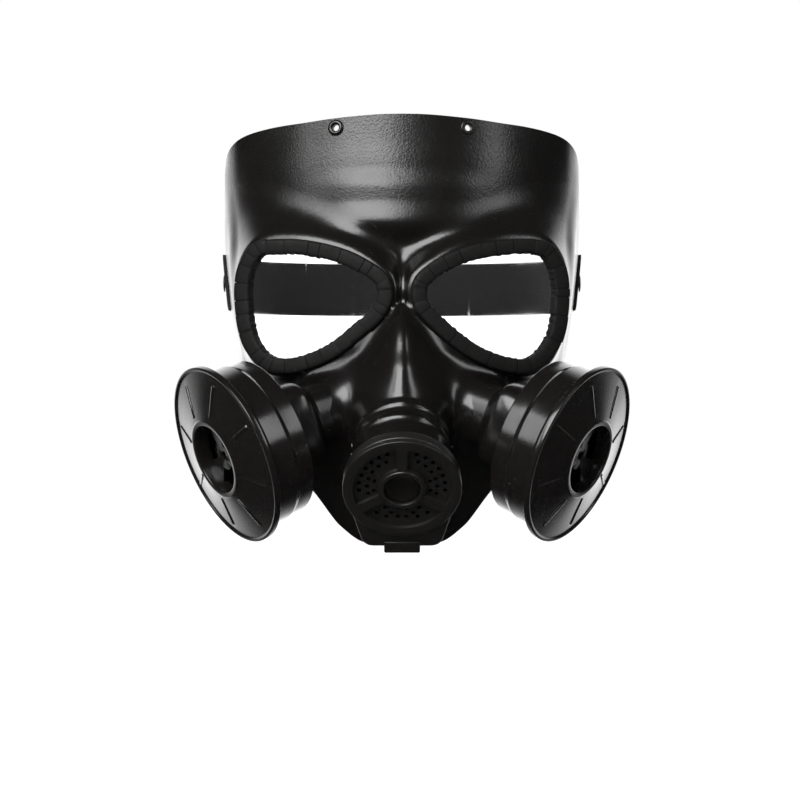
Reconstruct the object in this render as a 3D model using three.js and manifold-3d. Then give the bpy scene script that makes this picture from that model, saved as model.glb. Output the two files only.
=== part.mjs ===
// Gas mask style costume mask: a moulded plastic face shell with two goggle windows, a ribbed snout
// with a round grille, and two side canisters on short necks, worn with an elastic strap.
// Millimetres, +Z up. The wearer looks along -Y, and +X is on the right of a front view.
// The origin is the point on the inside of the forehead panel where the mask bears on the wearer.
import * as THREE from 'three';
import { mergeVertices } from 'three/addons/utils/BufferGeometryUtils.js';
import Module from 'manifold-3d';

const wasm = await Module();
wasm.setup();

// Driving dimensions
const WALL = 2.0;              // moulded shell wall
const GAP = 0.3;               // clearance between pieces that seat on each other
const SHELL_DEPTH = 78;        // from the forehead's front to where the sides run straight back
const SIDE_REACH = 14;         // straight side panel behind the widest line
const BRIDGE_GAP = 7.2;        // between the two eye trims at the nose bridge
const TRIM_WIDTH = 7.4;        // face of the edging round each window
const TRIM_HEIGHT = 3.0;       // how far the edging stands off the window land
const LENS_THICKNESS = 0.8;
const SNOUT_RADIUS = 23;       // ribbed snout tube
const SNOUT_TILT = 36.5;       // degrees below the horizontal
const GRILLE_RADIUS = 28;
const GRILLE_PLATE = 3.2;
const COLLAR_THICKNESS = 6;
const CAN_RADIUS = 38.5;       // canister drum
const CAN_DEPTH = 25;          // drum and flange, along the canister's axis
const FLANGE_RADIUS = 44.4;    // front cover of the canister
const WELL_RADIUS = 17;        // round hollow in the cover
const NECK_RADIUS = 22;
const NECK_LENGTH = 18;        // visible neck between drum and cheek
const STRAP_WIDTH = 28;
const STRAP_THICKNESS = 1.3;
const HEAD_LENGTH = 192;       // from the forehead to the back of the strap
const FINEST = 0.18;           // smallest detail kept where cut surfaces meet

const FORWARD = -1;
const DEGREE = Math.PI / 180;

// Face levels: height, half width of the shell and how far forward its centre line lies
const FACE_LEVELS = [
  { z: 34, half: 88.6, front: 5 },
  { z: 14, half: 89.5, front: 0.6 },
  { z: 0, half: 89.5, front: -2 },
  { z: -30, half: 89.5, front: -3 },
  { z: -64, half: 87, front: -1 },
  { z: -87, half: 83.5, front: -3 },
  { z: -110, half: 79.5, front: -8 },
  { z: -135, half: 72, front: -12 },
  { z: -160, half: 62, front: -11 },
  { z: -190, half: 50, front: -3 },
];

// The shell's trimmed edges against the turn round the head in degrees; past 90 the side runs straight
const EDGE_LEVELS = [
  { turn: 0, top: 24, bottom: -185 },
  { turn: 20, top: 22.4, bottom: -184 },
  { turn: 33, top: 20.4, bottom: -176 },
  { turn: 43, top: 19.2, bottom: -160 },
  { turn: 56, top: 16.5, bottom: -136 },
  { turn: 68, top: 11, bottom: -116 },
  { turn: 80, top: 2.5, bottom: -103 },
  { turn: 90, top: -9, bottom: -95 },
  { turn: 100, top: -26, bottom: -86 },
];
const LAST_TURN = 100;

// Outer outline of an eye trim from the window's centre; out is towards the temple
const EYE_OUTLINE = [
  { out: 12.4, up: 32.1 },
  { out: 28.5, up: 30.6 },
  { out: 36.6, up: 20 },
  { out: 38.6, up: 1.5 },
  { out: 33, up: -22.0 },
  { out: 19.5, up: -32.8 },
  { out: -3.7, up: -28.8 },
  { out: -25.6, up: -14 },
  { out: -37.2, up: 0 },
  { out: -36.4, up: 12.6 },
  { out: -22, up: 23.6 },
  { out: -4.3, up: 29.8 },
];
// Flanks that fall back from the windows: depth lost per millimetre, by side of the window
const FLANK = { rim: 1.2, plain: 0.85, nose: 0.9, temple: 7, corner: 7, step: 2, hidden: 4 };
const EYE_HALF_WIDTH = 38.6;
const EYE = { x: BRIDGE_GAP / 2 + EYE_HALF_WIDTH, z: -69 };
const LAND = { radius: 208, axis: -24, front: -14 };   // bent window land, a gentle upright cylinder

// The nose between the windows: height, half width and how far forward its ridge lies
const NOSE_LEVELS = [
  { z: -60, half: 3.5, front: 3 },
  { z: -67, half: 4.5, front: -8 },
  { z: -74, half: 6.5, front: -18 },
  { z: -82, half: 10, front: -25 },
  { z: -92, half: 13.5, front: -30 },
  { z: -101, half: 18, front: -34.5 },
  { z: -110, half: 21.5, front: -36.5 },
  { z: -127, half: 21, front: -34 },
];
const NOSE_DROP = 26;          // from the ridge back to the foot of each nose flank

// Frown ridges across the middle of the forehead
const FROWN = { reach: 40, height: 2.2, ridges: [{ z: -12, spread: 6 }, { z: -26, spread: 4.2 }] };
const CHEEK = { x: 46, z: -128, height: 12, spreadX: 20, spreadZ: 23 };

// The round snout: its mouth is the front of the grille, and its axis points forward and down
const MOUTH = new THREE.Vector3(0, -55, -157);
const SNOUT_AXIS = new THREE.Vector3(0, -Math.cos(SNOUT_TILT * DEGREE), -Math.sin(SNOUT_TILT * DEGREE));
const RIBS = { first: 16.5, pitch: 10.4, height: 1.3, count: 3 };

// The right canister: the middle of its flange and the way it points
const CAN_CENTRE = new THREE.Vector3(84, -30, -141);
const CAN_AXIS = new THREE.Vector3(0.814, -0.46, -0.354).normalize();

// Value of one column of a table at a given station, through a smooth monotone curve
function through(rows, station, column, at) {
  const ascending = rows[0][station] < rows[rows.length - 1][station];
  const list = ascending ? rows : [...rows].reverse();
  const last = list.length - 1;
  const x = Math.min(Math.max(at, list[0][station]), list[last][station]);
  let i = 0;
  while (i < last - 1 && x > list[i + 1][station]) i += 1;
  const slope = (k) => (list[k + 1][column] - list[k][column]) / (list[k + 1][station] - list[k][station]);
  const tangent = (k) => {
    if (k === 0) return slope(0);
    if (k === last) return slope(last - 1);
    const before = slope(k - 1);
    const after = slope(k);
    return before * after <= 0 ? 0 : (2 * before * after) / (before + after);
  };
  const span = list[i + 1][station] - list[i][station];
  const t = (x - list[i][station]) / span;
  const a = list[i][column];
  const b = list[i + 1][column];
  return a * (1 + 2 * t) * (1 - t) ** 2 + b * (3 - 2 * t) * t ** 2
    + span * (tangent(i) * t * (1 - t) ** 2 - tangent(i + 1) * (1 - t) * t ** 2);
}

// Outline of a window, offset inwards, as points in the front view about the window's centre
function eyeOutline(count, inset = 0) {
  const points = EYE_OUTLINE.map((p) => new THREE.Vector3(p.out, p.up, 0));
  const curve = new THREE.CatmullRomCurve3(points, true, 'centripetal');
  const outline = [];
  for (let i = 0; i < count; i += 1) {
    const p = curve.getPointAt(i / count);
    const along = curve.getTangentAt(i / count);
    outline.push(new THREE.Vector2(p.x + along.y * inset, p.y - along.x * inset));
  }
  return outline;
}

// Depth of the bent land that a window and its trim sit on
function landDepth(x) {
  const reach = (at) => Math.sqrt(LAND.radius ** 2 - (at - LAND.axis) ** 2);
  return LAND.front + reach(BRIDGE_GAP / 2) - reach(Math.min(Math.abs(x), 150));
}
function landNormal(x) {
  const lean = (Math.min(Math.abs(x), 150) - LAND.axis) / LAND.radius;
  return new THREE.Vector3(Math.sign(x) * lean, FORWARD * Math.sqrt(1 - lean * lean), 0);
}

// Depth of the shell's outer surface without its nose and eye mounds, where it faces forward
function faceDepth(x, z) {
  const half = through(FACE_LEVELS, 'z', 'half', z);
  const share = Math.min(Math.abs(x) / half, 1);
  let depth = through(FACE_LEVELS, 'z', 'front', z) + SHELL_DEPTH * (1 - Math.sqrt(1 - share * share));
  const frown = FROWN.ridges.reduce((sum, ridge) => sum + Math.exp(-(((z - ridge.z) / ridge.spread) ** 2)), 0);
  depth -= FROWN.height * frown * Math.exp(-((x / FROWN.reach) ** 2));
  const cheek = ((Math.abs(x) - CHEEK.x) / CHEEK.spreadX) ** 2 + ((z - CHEEK.z) / CHEEK.spreadZ) ** 2;
  return depth - CHEEK.height * Math.exp(-cheek);
}

// Point of the shell's outer surface: side from -1 to 1 round the head, drop from 0 to 1 down the face
function shellPoint(side, drop) {
  const turn = Math.abs(side) * LAST_TURN;
  const top = through(EDGE_LEVELS, 'turn', 'top', turn);
  const bottom = through(EDGE_LEVELS, 'turn', 'bottom', turn);
  const z = top + (bottom - top) * drop;
  const half = through(FACE_LEVELS, 'z', 'half', z);
  const x = half * Math.sin(Math.min(turn, 90) * DEGREE) * Math.sign(side);
  const straight = Math.max(turn - 90, 0) / (LAST_TURN - 90);
  const y = faceDepth(x, z) * (1 - straight) + (SHELL_DEPTH + SIDE_REACH) * straight;
  return new THREE.Vector3(x, y, z);
}

// Outward normal of that surface by small steps
function shellNormal(side, drop) {
  const step = 0.004;
  const across = shellPoint(side + step, drop).sub(shellPoint(side - step, drop));
  const down = shellPoint(side, drop + step).sub(shellPoint(side, drop - step));
  return down.cross(across).normalize();
}

// Surface moved out by an offset, along level lines that fan out from the middle of the head
function offsetPoint(side, drop, offset) {
  const turn = Math.min(Math.abs(side) * LAST_TURN, 90) * DEGREE;
  const outward = new THREE.Vector3(Math.sign(side) * Math.sin(turn), FORWARD * Math.cos(turn), 0);
  const square = Math.max(shellNormal(side, drop).dot(outward), 0.45);
  return shellPoint(side, drop).addScaledVector(outward, offset / square);
}

// Closed geometry from vertices and faces given as triangles or quads
function geometryFrom(vertices, faces) {
  const index = [];
  for (const f of faces) {
    index.push(f[0], f[1], f[2]);
    if (f.length === 4) index.push(f[0], f[2], f[3]);
  }
  const geometry = new THREE.BufferGeometry();
  geometry.setAttribute('position', new THREE.Float32BufferAttribute(vertices.flatMap((v) => [v.x, v.y, v.z]), 3));
  geometry.setIndex(index);
  return geometry;
}

// Solid between two grids of points that share their layout, the front one facing forward
function slab(front, back) {
  const rows = front.length;
  const columns = front[0].length;
  const vertices = [...front.flat(), ...back.flat()];
  const at = (layer, i, j) => layer * rows * columns + i * columns + j;
  const faces = [];
  for (let i = 0; i < rows - 1; i += 1) {
    for (let j = 0; j < columns - 1; j += 1) {
      const quads = [
        [at(0, i, j), at(0, i + 1, j), at(0, i + 1, j + 1), at(0, i, j + 1)],
        [at(1, i, j), at(1, i, j + 1), at(1, i + 1, j + 1), at(1, i + 1, j)],
      ];
      // The split of each quad is mirrored about the middle column
      for (const quad of quads) faces.push(2 * j < columns - 1 ? quad : [...quad.slice(1), quad[0]]);
    }
  }
  for (let j = 0; j < columns - 1; j += 1) {
    faces.push([at(0, 0, j), at(0, 0, j + 1), at(1, 0, j + 1), at(1, 0, j)]);
    faces.push([at(0, rows - 1, j + 1), at(0, rows - 1, j), at(1, rows - 1, j), at(1, rows - 1, j + 1)]);
  }
  for (let i = 0; i < rows - 1; i += 1) {
    faces.push([at(0, i + 1, 0), at(0, i, 0), at(1, i, 0), at(1, i + 1, 0)]);
    faces.push([at(0, i, columns - 1), at(0, i + 1, columns - 1), at(1, i + 1, columns - 1), at(1, i, columns - 1)]);
  }
  return geometryFrom(vertices, faces);
}

// Closed ring or tube from rows of points; a ring joins its last row to its first, a tube is capped
function sweep(rows, ring) {
  const count = rows[0].length;
  const vertices = rows.flat();
  const faces = [];
  const turns = ring ? rows.length : rows.length - 1;
  for (let i = 0; i < turns; i += 1) {
    const next = (i + 1) % rows.length;
    for (let j = 0; j < count; j += 1) {
      const k = (j + 1) % count;
      faces.push([i * count + j, next * count + j, next * count + k, i * count + k]);
    }
  }
  if (!ring) {
    for (const [row, flip] of [[0, false], [rows.length - 1, true]]) {
      const centre = rows[row].reduce((sum, p) => sum.add(p), new THREE.Vector3()).divideScalar(count);
      vertices.push(centre);
      for (let j = 0; j < count; j += 1) {
        const face = [row * count + j, row * count + ((j + 1) % count), vertices.length - 1];
        faces.push(flip ? face.reverse() : face);
      }
    }
  }
  return geometryFrom(vertices, faces);
}

function solid(geometry) {
  const bare = geometry.clone();
  bare.deleteAttribute('normal');
  bare.deleteAttribute('uv');
  const merged = mergeVertices(bare, 1e-4);
  const made = new wasm.Manifold(new wasm.Mesh({
    numProp: 3,
    vertProperties: merged.attributes.position.array,
    triVerts: new Uint32Array(merged.index.array),
  }));
  if (made.volume() >= 0) return made;
  const index = merged.index.array;
  for (let i = 0; i < index.length; i += 3) [index[i], index[i + 1]] = [index[i + 1], index[i]];
  return new wasm.Manifold(new wasm.Mesh({
    numProp: 3,
    vertProperties: merged.attributes.position.array,
    triVerts: new Uint32Array(index),
  }));
}

function geometryOf(made) {
  const mesh = made.getMesh();
  const geometry = new THREE.BufferGeometry();
  const positions = new Float32Array((mesh.vertProperties.length / mesh.numProp) * 3);
  for (let i = 0; i < positions.length / 3; i += 1) {
    for (let c = 0; c < 3; c += 1) positions[i * 3 + c] = mesh.vertProperties[i * mesh.numProp + c];
  }
  geometry.setAttribute('position', new THREE.BufferAttribute(positions, 3));
  geometry.setIndex(new THREE.BufferAttribute(new Uint32Array(mesh.triVerts), 1));
  geometry.computeVertexNormals();
  return geometry;
}

const unite = (first, ...others) => others.reduce((sum, other) => sum.add(other), first);
const cut = (first, ...others) => others.reduce((rest, other) => rest.subtract(other), first);

// Largest of a solid's bodies, without the slivers a cut can leave
function largest(made) {
  return made.decompose().reduce((most, body) => (body.volume() > most.volume() ? body : most));
}

// Turned solid about +Z from [radius, height] pairs that close on themselves or on the axis
function turned(profile, segments) {
  const points = profile.map(([radius, height]) => new THREE.Vector2(radius, height));
  if (profile[0][0] > 0) points.push(points[0].clone());
  return solid(new THREE.LatheGeometry(points, segments).rotateX(Math.PI / 2));
}

// Prism along +Z between two heights
function prism(shape, low, high, curveSegments = 6) {
  const geometry = new THREE.ExtrudeGeometry(shape, { depth: high - low, bevelEnabled: false, curveSegments });
  return solid(geometry.translate(0, 0, low));
}

// Frame with its Z along the axis and its Y as near up as can be
function frameOn(origin, axis) {
  const z = axis.clone().normalize();
  const x = new THREE.Vector3(0, 0, 1).cross(z).normalize();
  const y = z.clone().cross(x);
  return new THREE.Matrix4().makeBasis(x, y, z).setPosition(origin);
}
const SNOUT_FRAME = frameOn(MOUTH, SNOUT_AXIS);
const CAN_FRAME = frameOn(CAN_CENTRE, CAN_AXIS);

function placed(made, frame) {
  return solid(geometryOf(made).applyMatrix4(frame));
}

// Face shell, with its snout, window openings and forehead holes
// Closer columns in the middle of the face and closer rows at the nose
const GRID = { columns: 30, rows: 24, middle: 0.6, band: 0.2 };
function shellGrid(offset, margin) {
  const grid = [];
  for (let i = -margin; i <= GRID.rows + margin; i += 1) {
    const row = [];
    for (let j = -margin; j <= GRID.columns + margin; j += 1) {
      const even = (2 * j) / GRID.columns - 1;
      const side = even * (GRID.middle + (1 - GRID.middle) * even * even);
      const drop = i / GRID.rows + (GRID.band * Math.sin((2 * Math.PI * i) / GRID.rows)) / (2 * Math.PI);
      row.push(offsetPoint(side, drop, offset));
    }
    grid.push(row);
  }
  return grid;
}

// Space behind the sheet's surface moved by an offset, reaching past its edges by a margin of cells
function behindSheet(offset, margin, back, gather) {
  const grid = shellGrid(offset, margin);
  return solid(slab(grid, grid.map((row) => row.map((p) => new THREE.Vector3(p.x * gather, back, p.z)))));
}

// Section of the snout: round above, drawn down to a flat keel below
const KEEL = { half: 14.5, depth: 33, corner: 4 };
function snoutShape(radius, grow = 0) {
  const half = KEEL.half + grow * 0.8;
  const depth = KEEL.depth + grow;
  const shape = new THREE.Shape();
  const start = -8 * DEGREE;
  shape.absarc(0, 0, radius, start, Math.PI - start, false);
  shape.lineTo(-half - KEEL.corner * 0.4, -depth + KEEL.corner);
  shape.quadraticCurveTo(-half, -depth, -half + KEEL.corner, -depth);
  shape.lineTo(half - KEEL.corner, -depth);
  shape.quadraticCurveTo(half, -depth, half + KEEL.corner * 0.4, -depth + KEEL.corner);
  return shape;
}
function snoutRow(radius, grow, back) {
  return snoutShape(radius, grow).extractPoints(7).shape.map((p) => new THREE.Vector3(p.x, p.y, -back));
}
const SNOUT_START = GRILLE_PLATE + COLLAR_THICKNESS + 2 * GAP;
const SNOUT_LENGTH = 62;
function ribHeight(back) {
  const phase = (back - RIBS.first) / RIBS.pitch;
  if (phase < -0.5 || phase > RIBS.count - 0.5) return -RIBS.height;
  return RIBS.height * Math.cos(2 * Math.PI * phase);
}
function snoutOuter() {
  const rows = [];
  const ribbed = RIBS.first + (RIBS.count - 0.5) * RIBS.pitch;
  const steps = RIBS.count * 3 + 1;
  for (let i = 0; i <= steps; i += 1) {
    const back = SNOUT_START + ((ribbed - SNOUT_START) * i) / steps;
    rows.push(snoutRow(SNOUT_RADIUS + ribHeight(back), 0, back));
  }
  rows.push(snoutRow(SNOUT_RADIUS - RIBS.height, 0, SNOUT_LENGTH));
  return placed(solid(sweep(rows, false)), SNOUT_FRAME);
}
function snoutHollow(front) {
  const thinnest = SNOUT_RADIUS - RIBS.height - WALL;
  const rows = [front, SNOUT_LENGTH + WALL].map((back) => snoutRow(thinnest, -WALL, back));
  return placed(solid(sweep(rows, false)), SNOUT_FRAME);
}

// Plug through a window of the shell, square to the bent land
function windowPlug(inset, low, high, mirror) {
  const outline = eyeOutline(30, inset);
  const rows = [low, high].map((offset) => outline.map((p) => {
    const x = EYE.x + p.x;
    return new THREE.Vector3(x, landDepth(x), EYE.z + p.y).addScaledVector(landNormal(x), offset);
  }));
  return solid(sweep(rows, false).scale(mirror, 1, 1));
}

// Nose between the windows: a cone of level sections that runs back through the sheet
function noseCone(offset, back) {
  const top = NOSE_LEVELS[0].z;
  const bottom = NOSE_LEVELS[NOSE_LEVELS.length - 1].z;
  const rows = [];
  for (let i = 0; i <= 13; i += 1) {
    const z = top + ((bottom - top) * i) / 13;
    const half = through(NOSE_LEVELS, 'z', 'half', z) + offset;
    const front = through(NOSE_LEVELS, 'z', 'front', z) - 1.2 * offset;
    const row = [];
    for (let k = -6; k <= 6; k += 1) {
      const swing = (Math.PI / 2) * (k / 6);
      row.push(new THREE.Vector3(half * Math.sin(swing), front + NOSE_DROP * (1 - Math.cos(swing)), z));
    }
    row.push(new THREE.Vector3(half, back, z), new THREE.Vector3(-half, back, z));
    rows.push(row);
  }
  return solid(sweep(rows, false));
}

// Mound under a window: flat land for the trim, and flanks that fall back until they are behind the sheet
function eyeMound(offset, mirror) {
  const count = 40;
  const points = eyeOutline(count);
  const flanks = points.map((p, i) => {
    const before = points[(i + count - 1) % count];
    const after = points[(i + 1) % count];
    const along = after.clone().sub(before).normalize();
    const lean = p.x / p.length();
    const corner = FLANK.corner * Math.max(-p.x * p.y, 0) / p.lengthSq();
    const slope = FLANK.plain + (lean < 0 ? FLANK.nose * lean ** 4 : FLANK.temple * lean ** 6 + corner);
    const at = (reach, drop) => {
      const z = EYE.z + p.y + along.x * reach;
      const x = Math.min(EYE.x + p.x - along.y * reach, through(FACE_LEVELS, 'z', 'half', z) - GAP + offset);
      return new THREE.Vector3(x, landDepth(x) + drop, z);
    };
    const slide = (fall) => at(FLANK.rim + (fall - offset + offset * Math.hypot(1, slope)) / slope, fall - offset);
    let last = FLANK.step;
    const hidden = ({ x, y, z }) => y > faceDepth(x, z) + FLANK.hidden - offset;
    while (last < SHELL_DEPTH && !hidden(slide(last))) last += FLANK.step;
    return { at, slide, last };
  });
  const rows = [flanks.map(({ at }) => at(-OPENING_INSET - 1.5, -offset))];
  for (const share of [0, 0.3, 0.6, 1]) rows.push(flanks.map(({ slide, last }) => slide(last * share)));
  return solid(sweep(rows, false).scale(mirror, 1, 1));
}

const FOREHEAD_HOLE = { x: 32.2, z: 17.5, radius: 1.5 };
const STRAP_HOLE = { y: SHELL_DEPTH + 4, z: -55.5, radius: 2.1 };
const OPENING_INSET = 4.4;   // the shell runs this far under the trim

function faceShell() {
  const back = SHELL_DEPTH + 3 * SIDE_REACH;
  const forward = new THREE.Matrix4().makeTranslation(0, FORWARD * SHELL_DEPTH, 0);
  const withinEdges = placed(behindSheet(0, 0, back + SHELL_DEPTH, 1), forward);
  const mounds = unite(eyeMound(0, -1), eyeMound(0, 1)).intersect(withinEdges);
  const outside = unite(behindSheet(0, 0, back, 0.3), snoutOuter(), mounds, noseCone(0, 32));
  const sheetHollow = behindSheet(-WALL, 1, back + WALL, 1);
  const hollows = [sheetHollow, snoutHollow(SNOUT_START - 1), noseCone(-WALL, 36)];
  for (const side of [-1, 1]) hollows.push(eyeMound(-WALL, side));
  let shell = cut(outside, ...hollows);
  for (const side of [-1, 1]) {
    shell = cut(shell, windowPlug(OPENING_INSET, -12, 12, side), windowPlug(-0.6, 0.02, 14, side));
    const bore = new THREE.CylinderGeometry(FOREHEAD_HOLE.radius, FOREHEAD_HOLE.radius, 40, 10);
    shell = cut(shell, solid(bore.translate(side * FOREHEAD_HOLE.x, 0, FOREHEAD_HOLE.z)));
    const pin = new THREE.CylinderGeometry(STRAP_HOLE.radius, STRAP_HOLE.radius, 40, 10).rotateZ(Math.PI / 2);
    shell = cut(shell, solid(pin.translate(side * FACE_LEVELS[0].half, STRAP_HOLE.y, STRAP_HOLE.z)));
  }
  return largest(shell.asOriginal().simplify(FINEST));
}

// Edging round a window: a soft strip with a face on the land and a web through the opening
function eyeTrim(mirror) {
  const web = OPENING_INSET + GAP + 0.1;
  const section = [
    [0, GAP], [0.1, TRIM_HEIGHT - 1], [1.2, TRIM_HEIGHT], [TRIM_WIDTH - 1.2, TRIM_HEIGHT],
    [TRIM_WIDTH, TRIM_HEIGHT - 1], [TRIM_WIDTH, -WALL], [web, -WALL], [web, GAP],
  ];
  const count = 30;
  const outlines = section.map(([inset]) => eyeOutline(count, inset));
  const rows = [];
  for (let i = 0; i < count; i += 1) {
    rows.push(section.map(([, height], k) => {
      const x = EYE.x + outlines[k][i].x;
      const onLand = new THREE.Vector3(x, landDepth(x), EYE.z + outlines[k][i].y);
      return onLand.addScaledVector(landNormal(x), height);
    }));
  }
  return solid(sweep(rows, true).scale(mirror, 1, 1));
}

// Clear film behind the opening, bent with the land
function lens(mirror) {
  const columns = 9;
  const layer = (offset) => [1, -1].map((up) => Array.from({ length: columns + 1 }, (_, j) => {
    const x = BRIDGE_GAP / 2 + (2 * EYE_HALF_WIDTH * j) / columns;
    const point = new THREE.Vector3(x, landDepth(x), EYE.z + up * 40);
    return point.addScaledVector(landNormal(x), offset);
  }));
  const front = -WALL - GAP;
  const film = solid(slab(layer(front), layer(front - LENS_THICKNESS)).scale(mirror, 1, 1));
  return film.intersect(windowPlug(OPENING_INSET + GAP, front - 6, front + 6, mirror));
}

// Collar behind the grille, with a lug at its foot
const GRILLE_SPIGOT = { radius: 23.4, wall: 1.3, depth: 3 };
const LUG = { half: 8.6, top: -30, bottom: -40.5, thickness: 5 };
function muzzleCollar() {
  const front = -GRILLE_PLATE - GAP;
  const plate = prism(snoutShape(GRILLE_RADIUS - 0.4, 4), front - COLLAR_THICKNESS, front, 9);
  const lug = new THREE.BoxGeometry(2 * LUG.half, LUG.top - LUG.bottom, LUG.thickness);
  lug.translate(0, (LUG.top + LUG.bottom) / 2, front - LUG.thickness / 2);
  const seat = GRILLE_SPIGOT.radius + GAP;
  const floor = -GRILLE_PLATE - GRILLE_SPIGOT.depth - GAP;
  const passage = SNOUT_RADIUS - RIBS.height - WALL - 1;
  const bore = turned([[0, -50], [passage, -50], [passage, floor], [seat, floor], [seat, 10], [0, 10]], 26);
  return placed(cut(unite(plate, solid(lug)), bore), SNOUT_FRAME);
}

// Grille: three sunk sectors full of holes, three spokes and a lipped hub
const SECTOR = { inner: 11.3, outer: 23.1, sink: 2.0, spoke: 2.5, spokeAngles: [90, 210, 330] };
const HUB = { lip: 10.6, bore: 8.6, proud: 0.8, boreDepth: 4.2, back: 5.4 };
const HOLE_RADIUS = 1.05;
const HOLE_RINGS = [
  { radius: 20.3, from: 109.6, to: 185.7, count: 7 },
  { radius: 16.5, from: 116.8, to: 193.6, count: 6 },
  { radius: 13.4, from: 165, to: 188.8, count: 2 },
];
const HOLE_ROWS = [
  { down: 12.2, near: 2.0, far: 8.0 },
  { down: 15.2, near: 5.1, far: 11.9 },
  { down: 17.5, near: 2.0, far: 7.4 },
];
function grilleHoles() {
  const holes = [];
  for (const side of [-1, 1]) {
    for (const ring of HOLE_RINGS) {
      for (let i = 0; i < ring.count; i += 1) {
        const angle = (ring.from + ((ring.to - ring.from) * i) / (ring.count - 1)) * DEGREE;
        holes.push([side * ring.radius * Math.cos(angle), ring.radius * Math.sin(angle)]);
      }
    }
    for (const row of HOLE_ROWS) holes.push([side * row.near, -row.down], [side * row.far, -row.down]);
  }
  return holes;
}
function sectorShape(from, to) {
  const shape = new THREE.Shape();
  const half = SECTOR.spoke;
  const swing = (radius) => Math.asin(half / radius);
  shape.absarc(0, 0, SECTOR.outer, from * DEGREE + swing(SECTOR.outer), to * DEGREE - swing(SECTOR.outer), false);
  shape.absarc(0, 0, SECTOR.inner, to * DEGREE - swing(SECTOR.inner), from * DEGREE + swing(SECTOR.inner), true);
  return shape;
}
function muzzleGrille() {
  const edge = 0.9;
  const spigot = GRILLE_SPIGOT;
  let plate = turned([
    [HUB.bore, HUB.proud], [HUB.lip, HUB.proud], [HUB.lip, 0], [GRILLE_RADIUS - edge, 0],
    [GRILLE_RADIUS, -edge], [GRILLE_RADIUS, -GRILLE_PLATE], [spigot.radius, -GRILLE_PLATE],
    [spigot.radius, -GRILLE_PLATE - spigot.depth], [spigot.radius - spigot.wall, -GRILLE_PLATE - spigot.depth],
    [spigot.radius - spigot.wall, -GRILLE_PLATE], [HUB.lip, -GRILLE_PLATE], [HUB.lip, -HUB.back], [0, -HUB.back],
    [0, -HUB.boreDepth], [HUB.bore, -HUB.boreDepth], [HUB.bore, HUB.proud],
  ].reverse(), 28);
  const [first, second, third] = SECTOR.spokeAngles;
  for (const [from, to] of [[first, second], [second, third], [third, first + 360]]) {
    plate = cut(plate, prism(sectorShape(from, to), -SECTOR.sink, 5, 8));
  }
  for (const [x, y] of grilleHoles()) {
    const hole = new THREE.CylinderGeometry(HOLE_RADIUS, HOLE_RADIUS, 12, 6).rotateX(Math.PI / 2);
    plate = cut(plate, solid(hole.translate(x, y, -GRILLE_PLATE)));
  }
  return placed(plate.asOriginal().simplify(FINEST / 3), SNOUT_FRAME);
}

// Dished button in the hub
function valveButton() {
  const radius = HUB.bore - GAP;
  const floor = -HUB.boreDepth + GAP;
  const rim = -0.9;
  const dish = 2.0;
  const profile = [[0, floor], [radius, floor], [radius, rim], [radius - 0.7, rim]];
  for (let i = 1; i <= 3; i += 1) {
    const share = 1 - i / 3;
    profile.push([(radius - 0.7) * share, rim - dish * (1 - share * share)]);
  }
  return placed(turned(profile, 18), SNOUT_FRAME);
}

// Canister drum: a cup whose rim carries the cover and whose floor seats on the neck
const CAN_WALL = 1.8;
const CAN_BAND = 9.5;         // plain rear band, before the small step
const FLANGE_THICKNESS = 2.1;
const CAN_RIM = 41;
const SPIGOT_RADIUS = 14;
const CAN_SEGMENTS = 26;
function filterDrum() {
  const front = -FLANGE_THICKNESS - GAP;
  const step = -CAN_DEPTH + CAN_BAND;
  return placed(turned([
    [SPIGOT_RADIUS, -CAN_DEPTH], [CAN_RADIUS - 1, -CAN_DEPTH], [CAN_RADIUS, -CAN_DEPTH + 1],
    [CAN_RADIUS, step], [CAN_RADIUS + 1, step + 0.5], [CAN_RADIUS + 1.2, front - 2], [CAN_RIM, front - 1.6],
    [CAN_RIM, front], [CAN_RADIUS - CAN_WALL, front], [CAN_RADIUS - CAN_WALL, -CAN_DEPTH + CAN_WALL],
    [SPIGOT_RADIUS, -CAN_DEPTH + CAN_WALL],
  ], CAN_SEGMENTS), CAN_FRAME);
}

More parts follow.
